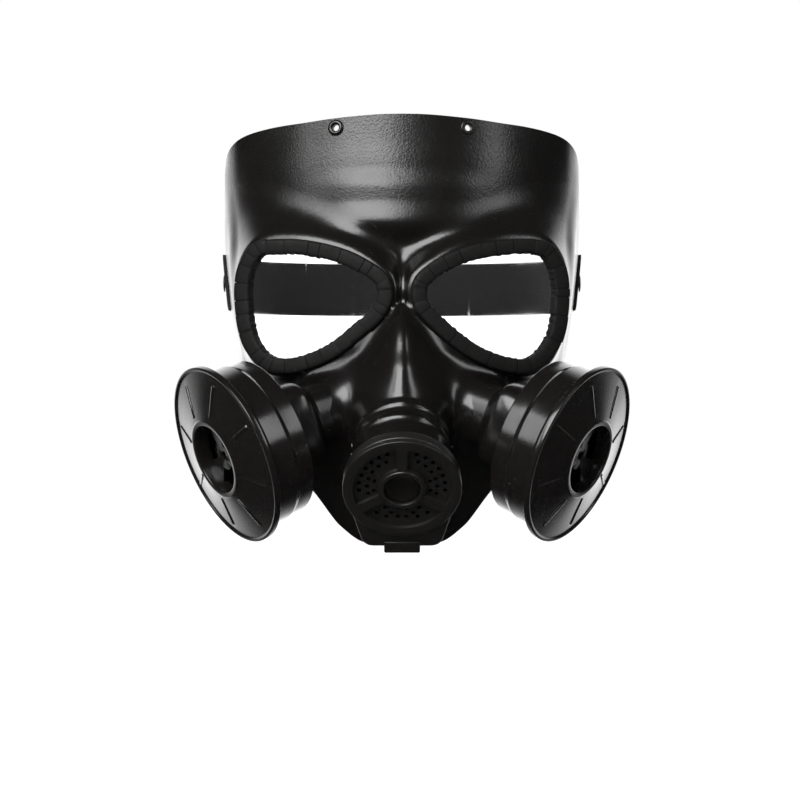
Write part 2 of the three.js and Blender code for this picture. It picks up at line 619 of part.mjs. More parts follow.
// Canister cover: flange, shallow cone with radial ribs, and a well crossed by two bridges
const CONE_RISE = 6.2;
const LIP = { width: 2.6, proud: 0.4 };
const WELL_WALL = 1.5;
const RIB = { count: 8, from: 22.5, to: 37, width: 1.5, height: 0.8, first: 22 };
const WELL_FLOOR = { top: 1.1, thickness: 1.6, plate: 7.2, leg: 45, legAngles: [88, 208, 328], hole: 2.3 };
function coneHeight(radius) {
  const foot = FLANGE_RADIUS - 1.9;
  const head = WELL_RADIUS + LIP.width;
  return (CONE_RISE * (foot - radius)) / (foot - head);
}
function filterCover() {
  const lip = WELL_RADIUS + LIP.width;
  const skirt = CAN_RADIUS - CAN_WALL - GAP;
  const wellFoot = WELL_FLOOR.top - WELL_FLOOR.thickness - 1;
  const under = 1.7;
  let cover = turned([
    [WELL_RADIUS, CONE_RISE + LIP.proud], [WELL_RADIUS, wellFoot], [WELL_RADIUS + WELL_WALL, wellFoot],
    [WELL_RADIUS + WELL_WALL, CONE_RISE - under], [skirt - WELL_WALL, coneHeight(skirt) - under],
    [skirt - WELL_WALL, -7.5], [skirt, -7.5], [skirt, -FLANGE_THICKNESS], [FLANGE_RADIUS, -FLANGE_THICKNESS],
    [FLANGE_RADIUS, 0.8], [FLANGE_RADIUS - 1.5, 0.9], [FLANGE_RADIUS - 1.9, 0],
    [lip, CONE_RISE], [lip - 0.5, CONE_RISE + LIP.proud],
  ], CAN_SEGMENTS);
  for (let i = 0; i < RIB.count; i += 1) {
    const slope = Math.atan2(coneHeight(RIB.from) - coneHeight(RIB.to), RIB.to - RIB.from);
    const middle = (RIB.from + RIB.to) / 2;
    const rib = new THREE.BoxGeometry(RIB.to - RIB.from, RIB.width, 2 * RIB.height);
    rib.rotateY(slope).translate(middle, 0, coneHeight(middle)).rotateZ((RIB.first + (360 * i) / RIB.count) * DEGREE);
    cover = unite(cover, solid(rib));
  }
  return placed(unite(cover, wellFloor()).asOriginal().simplify(FINEST / 3), CAN_FRAME);
}
// Floor of the well: a small plate on three legs, with open windows between them
function wellFloor() {
  const shape = new THREE.Shape();
  const [first] = WELL_FLOOR.legAngles;
  WELL_FLOOR.legAngles.forEach((angle, k) => {
    const from = (angle - WELL_FLOOR.leg / 2) * DEGREE;
    const to = (angle + WELL_FLOOR.leg / 2) * DEGREE;
    const next = ((WELL_FLOOR.legAngles[k + 1] ?? first + 360) - WELL_FLOOR.leg / 2) * DEGREE;
    shape.absarc(0, 0, WELL_RADIUS + WELL_WALL / 2, from, to, false);
    shape.absarc(0, 0, WELL_FLOOR.plate, to, next, false);
  });
  const hole = new THREE.Path();
  hole.absarc(0, 0, WELL_FLOOR.hole, 0, 2 * Math.PI, true);
  shape.holes.push(hole);
  return prism(shape, WELL_FLOOR.top - WELL_FLOOR.thickness, WELL_FLOOR.top, 3);
}

// Neck: a squarish tube from the drum, with a shoulder, that lands on the cheek
const SHOULDER = 3;
const NECK_ROOT = 17;
function squareRing(radius, back, squareness) {
  const count = 16;
  return Array.from({ length: count }, (_, i) => {
    const angle = (2 * Math.PI * i) / count;
    const c = Math.cos(angle);
    const s = Math.sin(angle);
    const size = radius / (Math.abs(c) ** squareness + Math.abs(s) ** squareness) ** (1 / squareness);
    return new THREE.Vector3(size * c, size * s, -back);
  });
}
function filterNeck() {
  const start = CAN_DEPTH + GAP;
  const end = start + NECK_LENGTH;
  const levels = [
    [NECK_RADIUS - 1.5, start, 2], [NECK_RADIUS, start + 4, 3], [NECK_RADIUS, end - SHOULDER, 4],
    [NECK_RADIUS - SHOULDER, end, 3.5], [NECK_ROOT, end + 2, 2.5], [NECK_ROOT, end + 26, 2],
  ];
  const rows = (inset, ahead, behind) => levels.map(([radius, back, squareness], k) => {
    const reach = k === 0 ? -ahead : behind * (k === levels.length - 1);
    return squareRing(radius - inset, back + reach, squareness);
  });
  const tube = placed(cut(solid(sweep(rows(0, 0, 0), false)), solid(sweep(rows(WALL, 1, 2), false))), CAN_FRAME);
  const sheet = behindSheet(1.7 * GAP, 0, SHELL_DEPTH, 1);
  const keep = cut(tube, sheet, snoutClearance(), eyeMound(1.7 * GAP, 1), noseCone(GAP, 32));
  return largest(keep.asOriginal().simplify(FINEST / 2));
}
function snoutClearance() {
  const rows = [0, SNOUT_LENGTH].map((back) => snoutRow(SNOUT_RADIUS + RIBS.height + GAP, 1, back));
  return placed(solid(sweep(rows, false)), SNOUT_FRAME);
}

// Elastic strap: from one side panel round the back of the head to the other
const STRAP_START = SHELL_DEPTH - 8;
function strapPath(inset, z) {
  const half = through(FACE_LEVELS, 'z', 'half', z) + GAP + 0.1 + STRAP_THICKNESS - inset;
  const turnAt = SHELL_DEPTH + SIDE_REACH;
  const depth = HEAD_LENGTH - turnAt - inset;
  const points = [new THREE.Vector3(-half, STRAP_START, z), new THREE.Vector3(-half, (STRAP_START + turnAt) / 2, z)];
  const steps = 28;
  for (let i = 0; i <= steps; i += 1) {
    const angle = Math.PI * (1 - i / steps);
    const round = (value) => Math.sign(value) * Math.abs(value) ** 0.88;
    points.push(new THREE.Vector3(half * round(Math.cos(angle)), turnAt + depth * round(Math.sin(angle)), z));
  }
  points.push(new THREE.Vector3(half, (STRAP_START + turnAt) / 2, z), new THREE.Vector3(half, STRAP_START, z));
  return points;
}
function headStrap() {
  const levels = [0.5, -0.5].map((share) => STRAP_HOLE.z + share * STRAP_WIDTH);
  const outer = levels.map((z) => strapPath(0, z));
  const inner = levels.map((z) => strapPath(STRAP_THICKNESS, z));
  let strap = solid(slab(outer, inner));
  for (const side of [-1, 1]) {
    const hole = new THREE.CylinderGeometry(STRAP_HOLE.radius, STRAP_HOLE.radius, 30, 10).rotateZ(Math.PI / 2);
    strap = cut(strap, solid(hole.translate(side * 92, STRAP_HOLE.y, STRAP_HOLE.z)));
  }
  return strap;
}

// Plain rivet that pins the strap to the side panel
function strapRivet(mirror) {
  const face = through(FACE_LEVELS, 'z', 'half', STRAP_HOLE.z);
  const outside = face + 2 * GAP + 0.4 + STRAP_THICKNESS;
  const inside = face - WALL - GAP - 0.2;
  const shank = STRAP_HOLE.radius - GAP;
  const profile = [
    [0, inside - 1], [3.6, inside - 1], [3.6, inside], [shank, inside],
    [shank, outside], [4.6, outside], [4.2, outside + 0.9], [0, outside + 0.9],
  ];
  const rivet = turned(profile, 10);
  const frame = new THREE.Matrix4().makeRotationY(Math.PI / 2).setPosition(0, STRAP_HOLE.y, STRAP_HOLE.z);
  return solid(geometryOf(placed(rivet, frame)).scale(mirror, 1, 1));
}

const MATERIALS = {
  shell: new THREE.MeshStandardMaterial({ color: 0x0c0b0a, roughness: 0.22, metalness: 0 }),
  canister: new THREE.MeshStandardMaterial({ color: 0x12100f, roughness: 0.34, metalness: 0 }),
  grille: new THREE.MeshStandardMaterial({ color: 0x141211, roughness: 0.45, metalness: 0 }),
  trim: new THREE.MeshStandardMaterial({ color: 0x111010, roughness: 0.6, metalness: 0 }),
  lens: new THREE.MeshStandardMaterial({ color: 0xdde2e6, roughness: 0.05, metalness: 0, transparent: true, opacity: 0.25 }),
  strap: new THREE.MeshStandardMaterial({ color: 0x0d0d0d, roughness: 0.85, metalness: 0 }),
  rivet: new THREE.MeshStandardMaterial({ color: 0x15151a, roughness: 0.35, metalness: 0.3 }),
};

const mask = new THREE.Group();
function add(name, made, material) {
  const mesh = new THREE.Mesh(geometryOf(made), MATERIALS[material]);
  mesh.name = name;
  mask.add(mesh);
}
// Piece made for the right and mirrored to the left; the left is on the left of a front view
function addPair(name, made, material) {
  add(`${name}_right`, made, material);
  add(`${name}_left`, solid(geometryOf(made).scale(-1, 1, 1)), material);
}

add('face_shell', faceShell(), 'shell');
addPair('eye_trim', eyeTrim(1), 'trim');
addPair('lens', lens(1), 'lens');
add('muzzle_collar', muzzleCollar(), 'grille');
add('muzzle_grille', muzzleGrille(), 'grille');
add('valve_button', valveButton(), 'shell');
addPair('filter_neck', filterNeck(), 'shell');
addPair('filter_drum', filterDrum(), 'canister');
addPair('filter_cover', filterCover(), 'canister');
add('head_strap', headStrap(), 'strap');
addPair('strap_rivet', strapRivet(1), 'rivet');

export default mask;
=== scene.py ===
# Gas mask style costume mask: moulded plastic face shell, notched window edging, clear films,
# ribbed snout with a perforated grille, two side canisters on necks and an elastic head strap.
# Sizes in the sections are millimetres in the mask's frame: +Z up, -Y forward, +X right of a front view.
import math

import bpy
import numpy as np
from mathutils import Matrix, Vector


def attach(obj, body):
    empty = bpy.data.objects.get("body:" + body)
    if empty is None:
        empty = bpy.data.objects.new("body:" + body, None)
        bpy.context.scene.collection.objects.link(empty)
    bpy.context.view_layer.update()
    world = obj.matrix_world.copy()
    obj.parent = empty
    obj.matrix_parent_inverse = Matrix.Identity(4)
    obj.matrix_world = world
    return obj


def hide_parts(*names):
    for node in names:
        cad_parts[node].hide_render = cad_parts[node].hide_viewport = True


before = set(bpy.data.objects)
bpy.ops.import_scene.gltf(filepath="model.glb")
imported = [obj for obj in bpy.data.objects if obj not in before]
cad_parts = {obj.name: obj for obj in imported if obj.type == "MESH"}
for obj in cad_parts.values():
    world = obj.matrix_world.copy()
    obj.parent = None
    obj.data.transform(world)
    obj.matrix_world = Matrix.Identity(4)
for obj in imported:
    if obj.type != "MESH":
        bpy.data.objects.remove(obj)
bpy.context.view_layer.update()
bpy.ops.object.select_all(action="DESELECT")


# Camera, lights and floor: a studio view from straight ahead. A broad soft box stands high on the left,
# an upright strip light on each side, a bright surround behind, which the mask's glossy sides mirror, and
# a plain pale floor under the mask.
scene = bpy.context.scene
scene.view_settings.view_transform = "Standard"
scene.view_settings.look = "None"
bpy.ops.object.camera_add(location=(-0.001, -1.6, -0.115), rotation=(math.radians(90), 0, 0))
camera = bpy.context.object
camera.name = "camera"
camera.data.lens = 148.5
camera.data.sensor_width = 36
camera.data.clip_start = 0.05
scene.camera = camera


def soft_light(name, azimuth, elevation, distance, width, height, radiance):
    """Rectangular light seen from the mask at an azimuth (right positive) and an elevation."""
    a, e = math.radians(azimuth), math.radians(elevation)
    target = Vector((0, 0, -0.08))
    place = target + distance * Vector((math.sin(a) * math.cos(e), -math.cos(a) * math.cos(e), math.sin(e)))
    bpy.ops.object.light_add(type="AREA", location=place)
    lamp = bpy.context.object
    lamp.name = name
    lamp.rotation_euler = (target - place).to_track_quat("-Z", "Y").to_euler()
    lamp.data.shape = "RECTANGLE"
    lamp.data.size = width
    lamp.data.size_y = height
    lamp.data.energy = radiance * math.pi * width * height
    lamp.visible_camera = False


soft_light("key_soft_box", -24, 32, 2.3, 1.6, 1.5, 10.0)
soft_light("left_side_light", -57, 27, 2.0, 0.42, 1.25, 5.5)
soft_light("right_side_light", 58, 27, 2.0, 0.42, 1.1, 4.5)


def ranged(tree, value, low, high, to_low, to_high, ease="LINEAR"):
    node = tree.nodes.new("ShaderNodeMapRange")
    node.interpolation_type = ease
    for label, number in (("From Min", low), ("From Max", high), ("To Min", to_low), ("To Max", to_high)):
        node.inputs[label].default_value = number
    tree.links.new(value, node.inputs["Value"])
    return node.outputs["Result"]


def maths(tree, operation, a, b):
    node = tree.nodes.new("ShaderNodeMath")
    node.operation = operation
    for socket, value in zip(node.inputs, (a, b)):
        if isinstance(value, (int, float)):
            socket.default_value = value
        else:
            tree.links.new(value, socket)
    return node.outputs[0]


# The surround lights the mask only from behind, and less from below; the camera sees it plain white
world = bpy.data.worlds.new("studio_surround")
scene.world = world
world.use_nodes = True
tree = world.node_tree
tree.nodes.clear()
way = tree.nodes.new("ShaderNodeSeparateXYZ")
tree.links.new(tree.nodes.new("ShaderNodeTexCoord").outputs["Generated"], way.inputs[0])
behind = ranged(tree, way.outputs["Y"], 0.5, 0.84, 0.035, 2.0, "SMOOTHSTEP")
below = ranged(tree, way.outputs["Z"], -0.75, -0.12, 0.10, 1.0, "SMOOTHSTEP")
shown = tree.nodes.new("ShaderNodeMix")
shown.data_type = "FLOAT"
shown.inputs[3].default_value = 1.0
tree.links.new(tree.nodes.new("ShaderNodeLightPath").outputs["Is Camera Ray"], shown.inputs[0])
tree.links.new(maths(tree, "MULTIPLY", behind, below), shown.inputs[2])
glow = tree.nodes.new("ShaderNodeBackground")
glow.inputs["Color"].default_value = (1, 1, 1, 1)
tree.links.new(shown.outputs[0], glow.inputs["Strength"])
tree.links.new(glow.outputs[0], tree.nodes.new("ShaderNodeOutputWorld").inputs["Surface"])

bpy.ops.mesh.primitive_plane_add(size=14, location=(0, 0, -0.36))
floor = bpy.context.object
floor.name = "floor"
paint = bpy.data.materials.new("pale_floor")
paint.use_nodes = True
tree = paint.node_tree
shader = tree.nodes["Principled BSDF"]
shader.inputs["Base Color"].default_value = (0.93, 0.93, 0.93, 1)
shader.inputs["Roughness"].default_value = 0.9
shader.inputs["Emission Color"].default_value = (1, 1, 1, 1)
seen = tree.nodes.new("ShaderNodeLightPath").outputs["Is Camera Ray"]
tree.links.new(maths(tree, "MULTIPLY", seen, 0.8), shader.inputs["Emission Strength"])
floor.data.materials.append(paint)
floor.visible_glossy = False


# Face shell: one sheet of glossy black plastic, about 2 mm thick, moulded with a tall forehead panel, two
# frown ridges, raised mounds round both windows, a sharp nose, round cheeks and a ribbed snout that leads
# to the grille. Its edges, windows and holes are trimmed after moulding.
MM = 0.001
WALL = 2.0
VOXEL = 1.25
DEPTH = 78.0
SIDE_REACH = 14.0
FACE = np.array([  # height, half width, front
    (34, 88.6, 2.4), (12, 89.5, 0.4), (-4, 89.5, -1.4), (-30, 89.5, -2.6), (-64, 87, -1),
    (-87, 83.5, -3), (-110, 79.5, -8), (-135, 72, -12), (-160, 62, -11), (-190, 50, -3)], float)
EDGE = np.array([  # turn from straight ahead in degrees, top, bottom
    (0, 24, -185), (4, 23.95, -184.95), (20, 22.4, -184), (33, 20.4, -176), (43, 19.2, -160), (56, 16.5, -136),
    (68, 11, -116), (80, 2.5, -103), (90, -9, -95), (100, -26, -86)], float)
NOSE = np.array([  # height, ridge, slope of the flanks
    (-58, 6, 2.4), (-67, -8, 2.0), (-74, -18, 1.7), (-82, -25, 1.45), (-92, -30, 1.25), (-101, -34.5, 1.1),
    (-110, -36.5, 1.0), (-118, -35, 0.95), (-128, -28, 0.95), (-142, -10, 0.95), (-158, 14, 0.95)], float)
NOSE_TIP, NOSE_REACH = 7.0, 44
FROWN_STEPS = ((1.7, -1, 11), (1.7, -17.5, 11), (-3.4, -28.5, 13))  # how far forward, top, drop
FROWN_REACH = 38
CHEEK_X, CHEEK_Z, CHEEK_WIDTH, CHEEK_HEIGHT, CHEEK_RISE = 46, -128, 20, 23, 11
CAN_CENTRE = np.array((84.0, -30.0, -141.0))
CAN_WAY = np.array((0.814, -0.46, -0.354))
BOSS_RADIUS, BOSS_END = 17.2, 48.0
EYE_OUTLINE = np.array([  # out towards the temple, up, clockwise
    (12.4, 32.1), (28.5, 30.6), (36.6, 20), (38.6, 1.5), (33, -22), (19.5, -32.8),
    (-3.7, -28.8), (-25.6, -14), (-37.2, 0), (-36.4, 12.6), (-22, 23.6), (-4.3, 29.8)], float)
EYE_X, EYE_Z = 42.2, -69.0
LAND_RADIUS, LAND_AXIS, LAND_FRONT, LAND_EDGE = 208.0, -24.0, -14.0, 3.6
SNOUT_TILT = math.radians(36.5)
MOUTH = np.array((0.0, -55.0, -157.0))
SNOUT_AXES = np.array(((1, 0, 0), (0, -math.sin(SNOUT_TILT), math.cos(SNOUT_TILT)),
                       (0, -math.cos(SNOUT_TILT), -math.sin(SNOUT_TILT))))
SNOUT_RADIUS, SNOUT_START, SNOUT_LENGTH = 23.0, 9.8, 62
SNOUT_RIBS = ((1.5, 12.0, 1.8), (1.5, 27.8, 1.7), (1.35, 36.8, 1.6))  # height, place behind the mouth, reach
KEEL_DEPTH, KEEL_HALF, KEEL_TURN = 33, 14.5, 8  # the last is in degrees
KEEL_CORNER = np.array((16.1, -29.0))
HOLE_X, HOLE_Z = 32.2, 17.5
RIVET_Y, RIVET_Z = 82, -55.5


def column(table, index, at):
    """Smooth monotone curve through one column of a table whose first column is the station."""
    rows = table[np.argsort(table[:, 0])]
    x, y = rows[:, 0], rows[:, index]
    slope = np.diff(y) / np.diff(x)
    before, after = slope[:-1], slope[1:]
    same = before * after > 0
    inner = np.where(same, 2 * before * after / np.where(same, before + after, 1), 0)
    tangent = np.concatenate(([slope[0]], inner, [slope[-1]]))
    at = np.clip(at, x[0], x[-1])
    i = np.clip(np.searchsorted(x, at, side="right") - 1, 0, len(x) - 2)
    span = x[i + 1] - x[i]
    t = (at - x[i]) / span
    return (y[i] * (1 + 2 * t) * (1 - t) ** 2 + y[i + 1] * (3 - 2 * t) * t ** 2
            + span * (tangent[i] * t * (1 - t) ** 2 - tangent[i + 1] * (1 - t) * t ** 2))


def blend_min(a, b, width):
    h = np.maximum(width - np.abs(a - b), 0) / width
    return np.minimum(a, b) - h * h * width / 4


def blend_max(a, b, width):
    return -blend_min(-a, -b, width)


def land_depth(x):
    """How far back the round land is that carries the window."""
    reach = lambda at: np.sqrt(LAND_RADIUS ** 2 - (at - LAND_AXIS) ** 2)
    return LAND_FRONT + reach(LAND_EDGE) - reach(np.clip(x, -12, 150))


def land_normal(x):
    lean = (np.minimum(np.abs(x), 150) - LAND_AXIS) / LAND_RADIUS
    return np.stack([np.sign(x) * lean, -np.sqrt(1 - lean ** 2), np.zeros_like(lean)], -1)


def eye_points(count, inset=0.0, at=None):
    """Evenly spaced points of the window outline, or those at given shares of its length, moved inwards."""
    dense = []
    n = len(EYE_OUTLINE)
    for i in range(n):
        p = [EYE_OUTLINE[(i + k - 1) % n] for k in range(4)]
        d = [math.sqrt(np.linalg.norm(p[k + 1] - p[k])) for k in range(3)]
        m1 = ((p[1] - p[0]) / d[0] - (p[2] - p[0]) / (d[0] + d[1]) + (p[2] - p[1]) / d[1]) * d[1]
        m2 = ((p[2] - p[1]) / d[1] - (p[3] - p[1]) / (d[1] + d[2]) + (p[3] - p[2]) / d[2]) * d[1]
        for t in np.arange(60) / 60:
            dense.append(p[1] * (1 + 2 * t) * (1 - t) ** 2 + p[2] * (3 - 2 * t) * t ** 2
                         + m1 * t * (1 - t) ** 2 - m2 * (1 - t) * t ** 2)
    dense = np.array(dense + [dense[0]])
    length = np.concatenate(([0], np.cumsum(np.linalg.norm(np.diff(dense, axis=0), axis=1))))
    share = np.arange(count) / count if at is None else np.asarray(at, float) % 1
    pick = lambda s: np.stack([np.interp((s % 1) * length[-1], length, dense[:, k]) for k in range(2)], -1)
    point = pick(share)
    along = pick(share + 0.002) - pick(share - 0.002)
    along /= np.linalg.norm(along, axis=1)[:, None]
    return point + inset * np.stack([along[:, 1], -along[:, 0]], -1)


# Signed distance to the window outline on a fine grid, positive outside
GRID_STEP = 0.75
ring = eye_points(240)
grid_x, grid_z = np.arange(-60, 62.1, GRID_STEP), np.arange(-62, 62.1, GRID_STEP)
spots = np.stack(np.meshgrid(grid_x, grid_z, indexing="ij"), -1)
nearest = np.full(spots.shape[:2], 1e9)
winding = np.zeros(spots.shape[:2])
for a, s in zip(ring, np.roll(ring, -1, axis=0) - ring):
    rel = spots - a
    t = np.clip((rel @ s) / (s @ s), 0, 1)
    nearest = np.minimum(nearest, np.linalg.norm(rel - t[..., None] * s, axis=-1))
    crossing = (spots[..., 1] >= min(a[1], a[1] + s[1])) & (spots[..., 1] < max(a[1], a[1] + s[1]))
    x_at = a[0] + (spots[..., 1] - a[1]) / (s[1] if s[1] else 1) * s[0]
    winding += crossing & (x_at > spots[..., 0])
outline_distance = np.where(winding % 2 == 1, -nearest, nearest)


def outline_at(px, pz):
    u = np.clip((px - grid_x[0]) / GRID_STEP, 0, len(grid_x) - 1.001)
    v = np.clip((pz - grid_z[0]) / GRID_STEP, 0, len(grid_z) - 1.001)
    i, j = u.astype(int), v.astype(int)
    u, v = u - i, v - j
    g = outline_distance
    lower, upper = (g[i, k] * (1 - u) + g[i + 1, k] * u for k in (j, j + 1))
    return lower * (1 - v) + upper * v


def sheet_bumps(x, z):
    """How far the frown ridges and cheeks stand forward of the plain sheet."""
    rise = lambda top, drop: 0.5 - 0.5 * np.cos(math.pi * np.clip((top - z) / drop, 0, 1))
    frown = sum(forward * rise(top, drop) for forward, top, drop in FROWN_STEPS)
    cheek = ((np.abs(x) - CHEEK_X) / CHEEK_WIDTH) ** 2 + ((z - CHEEK_Z) / CHEEK_HEIGHT) ** 2
    return frown * np.exp(-(x / FROWN_REACH) ** 4) + CHEEK_RISE * np.exp(-cheek)


def sheet_side(x, y, z):
    """Signed distance, about, from the plain sheet, whose sides run straight back."""
    half, front = column(FACE, 1, z), column(FACE, 2, z)
    back = y - (front + DEPTH) + sheet_bumps(x, z)
    k0 = np.hypot(x / half, back / DEPTH)
    k1 = np.hypot(x / half ** 2, back / DEPTH ** 2)
    return np.where(back > 0, np.abs(x) - half, k0 * (k0 - 1) / np.maximum(k1, 1e-6))


def one_mound(x, y, z):
    """Signed distance, about, from the mound round the window on the right."""
    px, pz = x - EYE_X, z - EYE_Z
    size = np.maximum(px ** 2 + pz ** 2, 1)
    lean = px / np.sqrt(size)
    slope = 0.85 + np.where(lean < 0, 0.9 * lean ** 4, 7 * lean ** 6 + 7 * np.maximum(-px * pz, 0) / size)
    behind_land = y - land_depth(x)
    flank = ((outline_at(px, pz) - 1.2) * slope - behind_land) / np.sqrt(1 + slope ** 2)
    mound = blend_max(-behind_land, flank, 2.4)
    return blend_max(mound, np.abs(x) - column(FACE, 1, z) + 3.0, 7)


def mound_side(x, y, z):
    return blend_min(one_mound(x, y, z), one_mound(-x, y, z), 3.5)


def nose_side(x, y, z):
    slope = column(NOSE, 2, z)
    run = np.sqrt(NOSE_TIP ** 2 + (slope * x) ** 2)
    nose = (column(NOSE, 1, z) + run - NOSE_TIP - y) / np.sqrt(1.5 + (slope ** 2 * x / run) ** 2)
    return blend_max(nose, np.abs(x) - NOSE_REACH, 6)


def boss_side(x, y, z):
    """The cheek's round boss, which rises to meet the canister neck."""
    rel = np.stack([np.abs(x), y, z], -1) - CAN_CENTRE
    back = -(rel @ CAN_WAY)
    off = np.linalg.norm(rel + back[..., None] * CAN_WAY, axis=-1)
    return blend_max(off - BOSS_RADIUS, BOSS_END - back, 5)


def rib_height(back):
    return sum(height * np.exp(-((back - at) / reach) ** 2) for height, at, reach in SNOUT_RIBS) - 0.5


def snout_side(x, y, z):
    """Signed distance, about, from the ribbed snout, round above and drawn down to a flat keel."""
    local = (np.stack([x, y, z], -1) - MOUTH) @ SNOUT_AXES.T
    u, v, back = np.abs(local[..., 0]), local[..., 1], -local[..., 2]
    radius = SNOUT_RADIUS + rib_height(back)
    # A shallow recess lies across the top, between the first two ribs
    recess = 1.9 * np.clip((25.5 - back) / 9.5, 0, 1) * np.clip((back - 13.4) / 1.6, 0, 1)
    recess = recess * np.exp(-(u / 14.5) ** 6) * (v > 0)
    round_part = np.hypot(u, v) - radius + recess
    turn = math.radians(KEEL_TURN)
    ax, ay = radius * math.cos(turn), radius * -math.sin(turn)
    nx, ny = ay - KEEL_CORNER[1], KEEL_CORNER[0] - ax
    size = np.hypot(nx, ny)
    side = (u - ax) * nx / size + (v - ay) * ny / size
    keel = blend_max(blend_max(side, -v - KEEL_DEPTH, 5), v, 2)
    snout = blend_min(round_part, keel, 2)
    return blend_max(snout, back - SNOUT_LENGTH, 2)


def shell_side(p, snout=True):
    """Signed distance, about, of points from the shell's outer skin; positive outside."""
    x, y, z = p[..., 0], p[..., 1], p[..., 2]
    side = blend_min(sheet_side(x, y, z), boss_side(x, y, z), 9.0)
    side = blend_min(side, mound_side(x, y, z), 5.0)
    side = blend_min(side, nose_side(x, y, z), np.interp(-z, (64, 90), (3.0, 9.0)))
    return blend_min(side, snout_side(x, y, z), 8.0) if snout else side


def grid_piece(name, rows):
    """Primitive grid whose points are moved to rows of places in millimetres."""
    rows = np.asarray(rows, float)
    bpy.ops.mesh.primitive_grid_add(x_subdivisions=rows.shape[1] - 1, y_subdivisions=rows.shape[0] - 1, size=1)
    piece = bpy.context.object
    piece.name = piece.data.name = name
    piece.data.vertices.foreach_set("co", (rows * MM).ravel())
    piece.data.update()
    return piece


def choose(*pieces):
    """Selects the pieces and nothing else, with the first one active."""
    bpy.ops.object.select_all(action="DESELECT")
    for piece in pieces:
        piece.select_set(True)
    bpy.context.view_layer.objects.active = pieces[0]


def mend(piece, distance=1e-6):
    """Merges doubles and turns the faces of a closed piece outwards."""
    choose(piece)
    bpy.ops.object.mode_set(mode="EDIT")
    bpy.ops.mesh.select_all(action="SELECT")
    bpy.ops.mesh.remove_doubles(threshold=distance)
    bpy.ops.mesh.normals_make_consistent(inside=False)
    bpy.ops.mesh.select_all(action="DESELECT")
    bpy.ops.object.mode_set(mode="OBJECT")
    return piece


def capped(name, rows):
    """Closed tube from rows of points round it, with a cap at each end."""
    rows = np.asarray(rows, float)
    ends = [np.repeat(row.mean(axis=0)[None], len(row), axis=0) for row in (rows[0], rows[-1])]
    rows = np.concatenate(([ends[0]], rows, [ends[1]]))
    return mend(grid_piece(name, np.concatenate((rows, rows[:, :1]), axis=1)))


def modified(piece, kind, **settings):
    """Adds one modifier, sets it and applies it."""
    choose(piece)
    modifier = piece.modifiers.new(kind.lower(), kind)
    for key, value in settings.items():
        setattr(modifier, key, value)
    bpy.ops.object.modifier_apply(modifier=modifier.name)
    return piece


def cut_with(piece, tool, operation="DIFFERENCE", solver="MANIFOLD"):
    modified(piece, "BOOLEAN", object=tool, operation=operation, solver=solver)
    bpy.data.objects.remove(tool)
    return piece


def joined(pieces):
    choose(*pieces)
    bpy.ops.object.join()
    return pieces[0]


def copied(piece, name):
    other = piece.copy()
    other.data = piece.data.copy()
    other.name = other.data.name = name
    scene.collection.objects.link(other)
    return other


def coordinates(piece):
    co = np.empty(len(piece.data.vertices) * 3)
    piece.data.vertices.foreach_get("co", co)
    return co.reshape(-1, 3) / MM


def move_points(piece, co):
    piece.data.vertices.foreach_set("co", (co * MM).ravel())
    piece.data.update()


def in_frame(points, origin, axes):
    return np.asarray(points, float) @ axes + origin


def snout_section(radius, grow=0.0, arc=40):
    """Outline of the snout: round above, drawn down to a flat keel."""
    half, depth, bend = KEEL_HALF + 0.8 * grow, KEEL_DEPTH + grow, 4.0
    angles = np.radians(np.linspace(-KEEL_TURN, 180 + KEEL_TURN, arc))
    points = [radius * np.array((math.cos(a), math.sin(a))) for a in angles]
    left = np.array((-half - 0.4 * bend, -depth + bend))
    low_left = np.array((-half + bend, -depth))
    turn = lambda p, q, r, t: p * (1 - t) ** 2 + 2 * q * t * (1 - t) + r * t * t
    points += [points[-1] + (left - points[-1]) * t for t in np.linspace(0, 1, 8)[1:]]
    points += [turn(left, np.array((-half, -depth)), low_left, t) for t in np.linspace(0, 1, 6)[1:]]
    mirrored = [p * (-1, 1) for p in points[arc:]][::-1]
    points += [low_left + (mirrored[0] - low_left) * t for t in np.linspace(0, 1, 8)[1:-1]]
    return np.array(points + mirrored)


def rays_out(turns, heights):
    """Where rays from the middle of the mask meet the skin, for a start of the sheet."""
    turn, height = np.meshgrid(np.radians(turns), heights)
    way = np.stack([np.sin(turn), -np.cos(turn), np.zeros_like(turn)], -1)
    origin = np.stack([np.zeros_like(turn), np.full_like(turn, 60.0), height], -1)
    reach = np.full(turn.shape, 20.0)
    for distance in np.arange(20, 122, 2.0):
        inside = shell_side(origin + distance * way, snout=False) < 0
        reach = np.where(inside, distance + 1, reach)
    return origin + reach[..., None] * way, origin


skin_rows, middle = rays_out(np.linspace(-113, 113, 151), np.linspace(31, -194, 121))
inner_rows = middle + 0.3 * (skin_rows - middle)
# One closed band: the skin, its lower rim, the inner side and the upper rim
wrap = np.concatenate((skin_rows, inner_rows[::-1], skin_rows[:1]))
band = grid_piece("face_form", wrap)
side_rims = [grid_piece("side_rim", np.stack((skin_rows[:, end], inner_rows[:, end]))) for end in (0, -1)]
band = mend(joined([band] + side_rims), 1e-5)


def snout_rows(section, backs):
    """The section set at each distance behind the mouth."""
    return [in_frame(np.c_[section, np.full(len(section), -back)], MOUTH, SNOUT_AXES) for back in backs]


tube = capped("snout_form", snout_rows(snout_section(SNOUT_RADIUS), (6, 20, 40, 56)))
form = joined([band, tube])
modified(form, "REMESH", mode="VOXEL", voxel_size=VOXEL * MM, adaptivity=0.0)

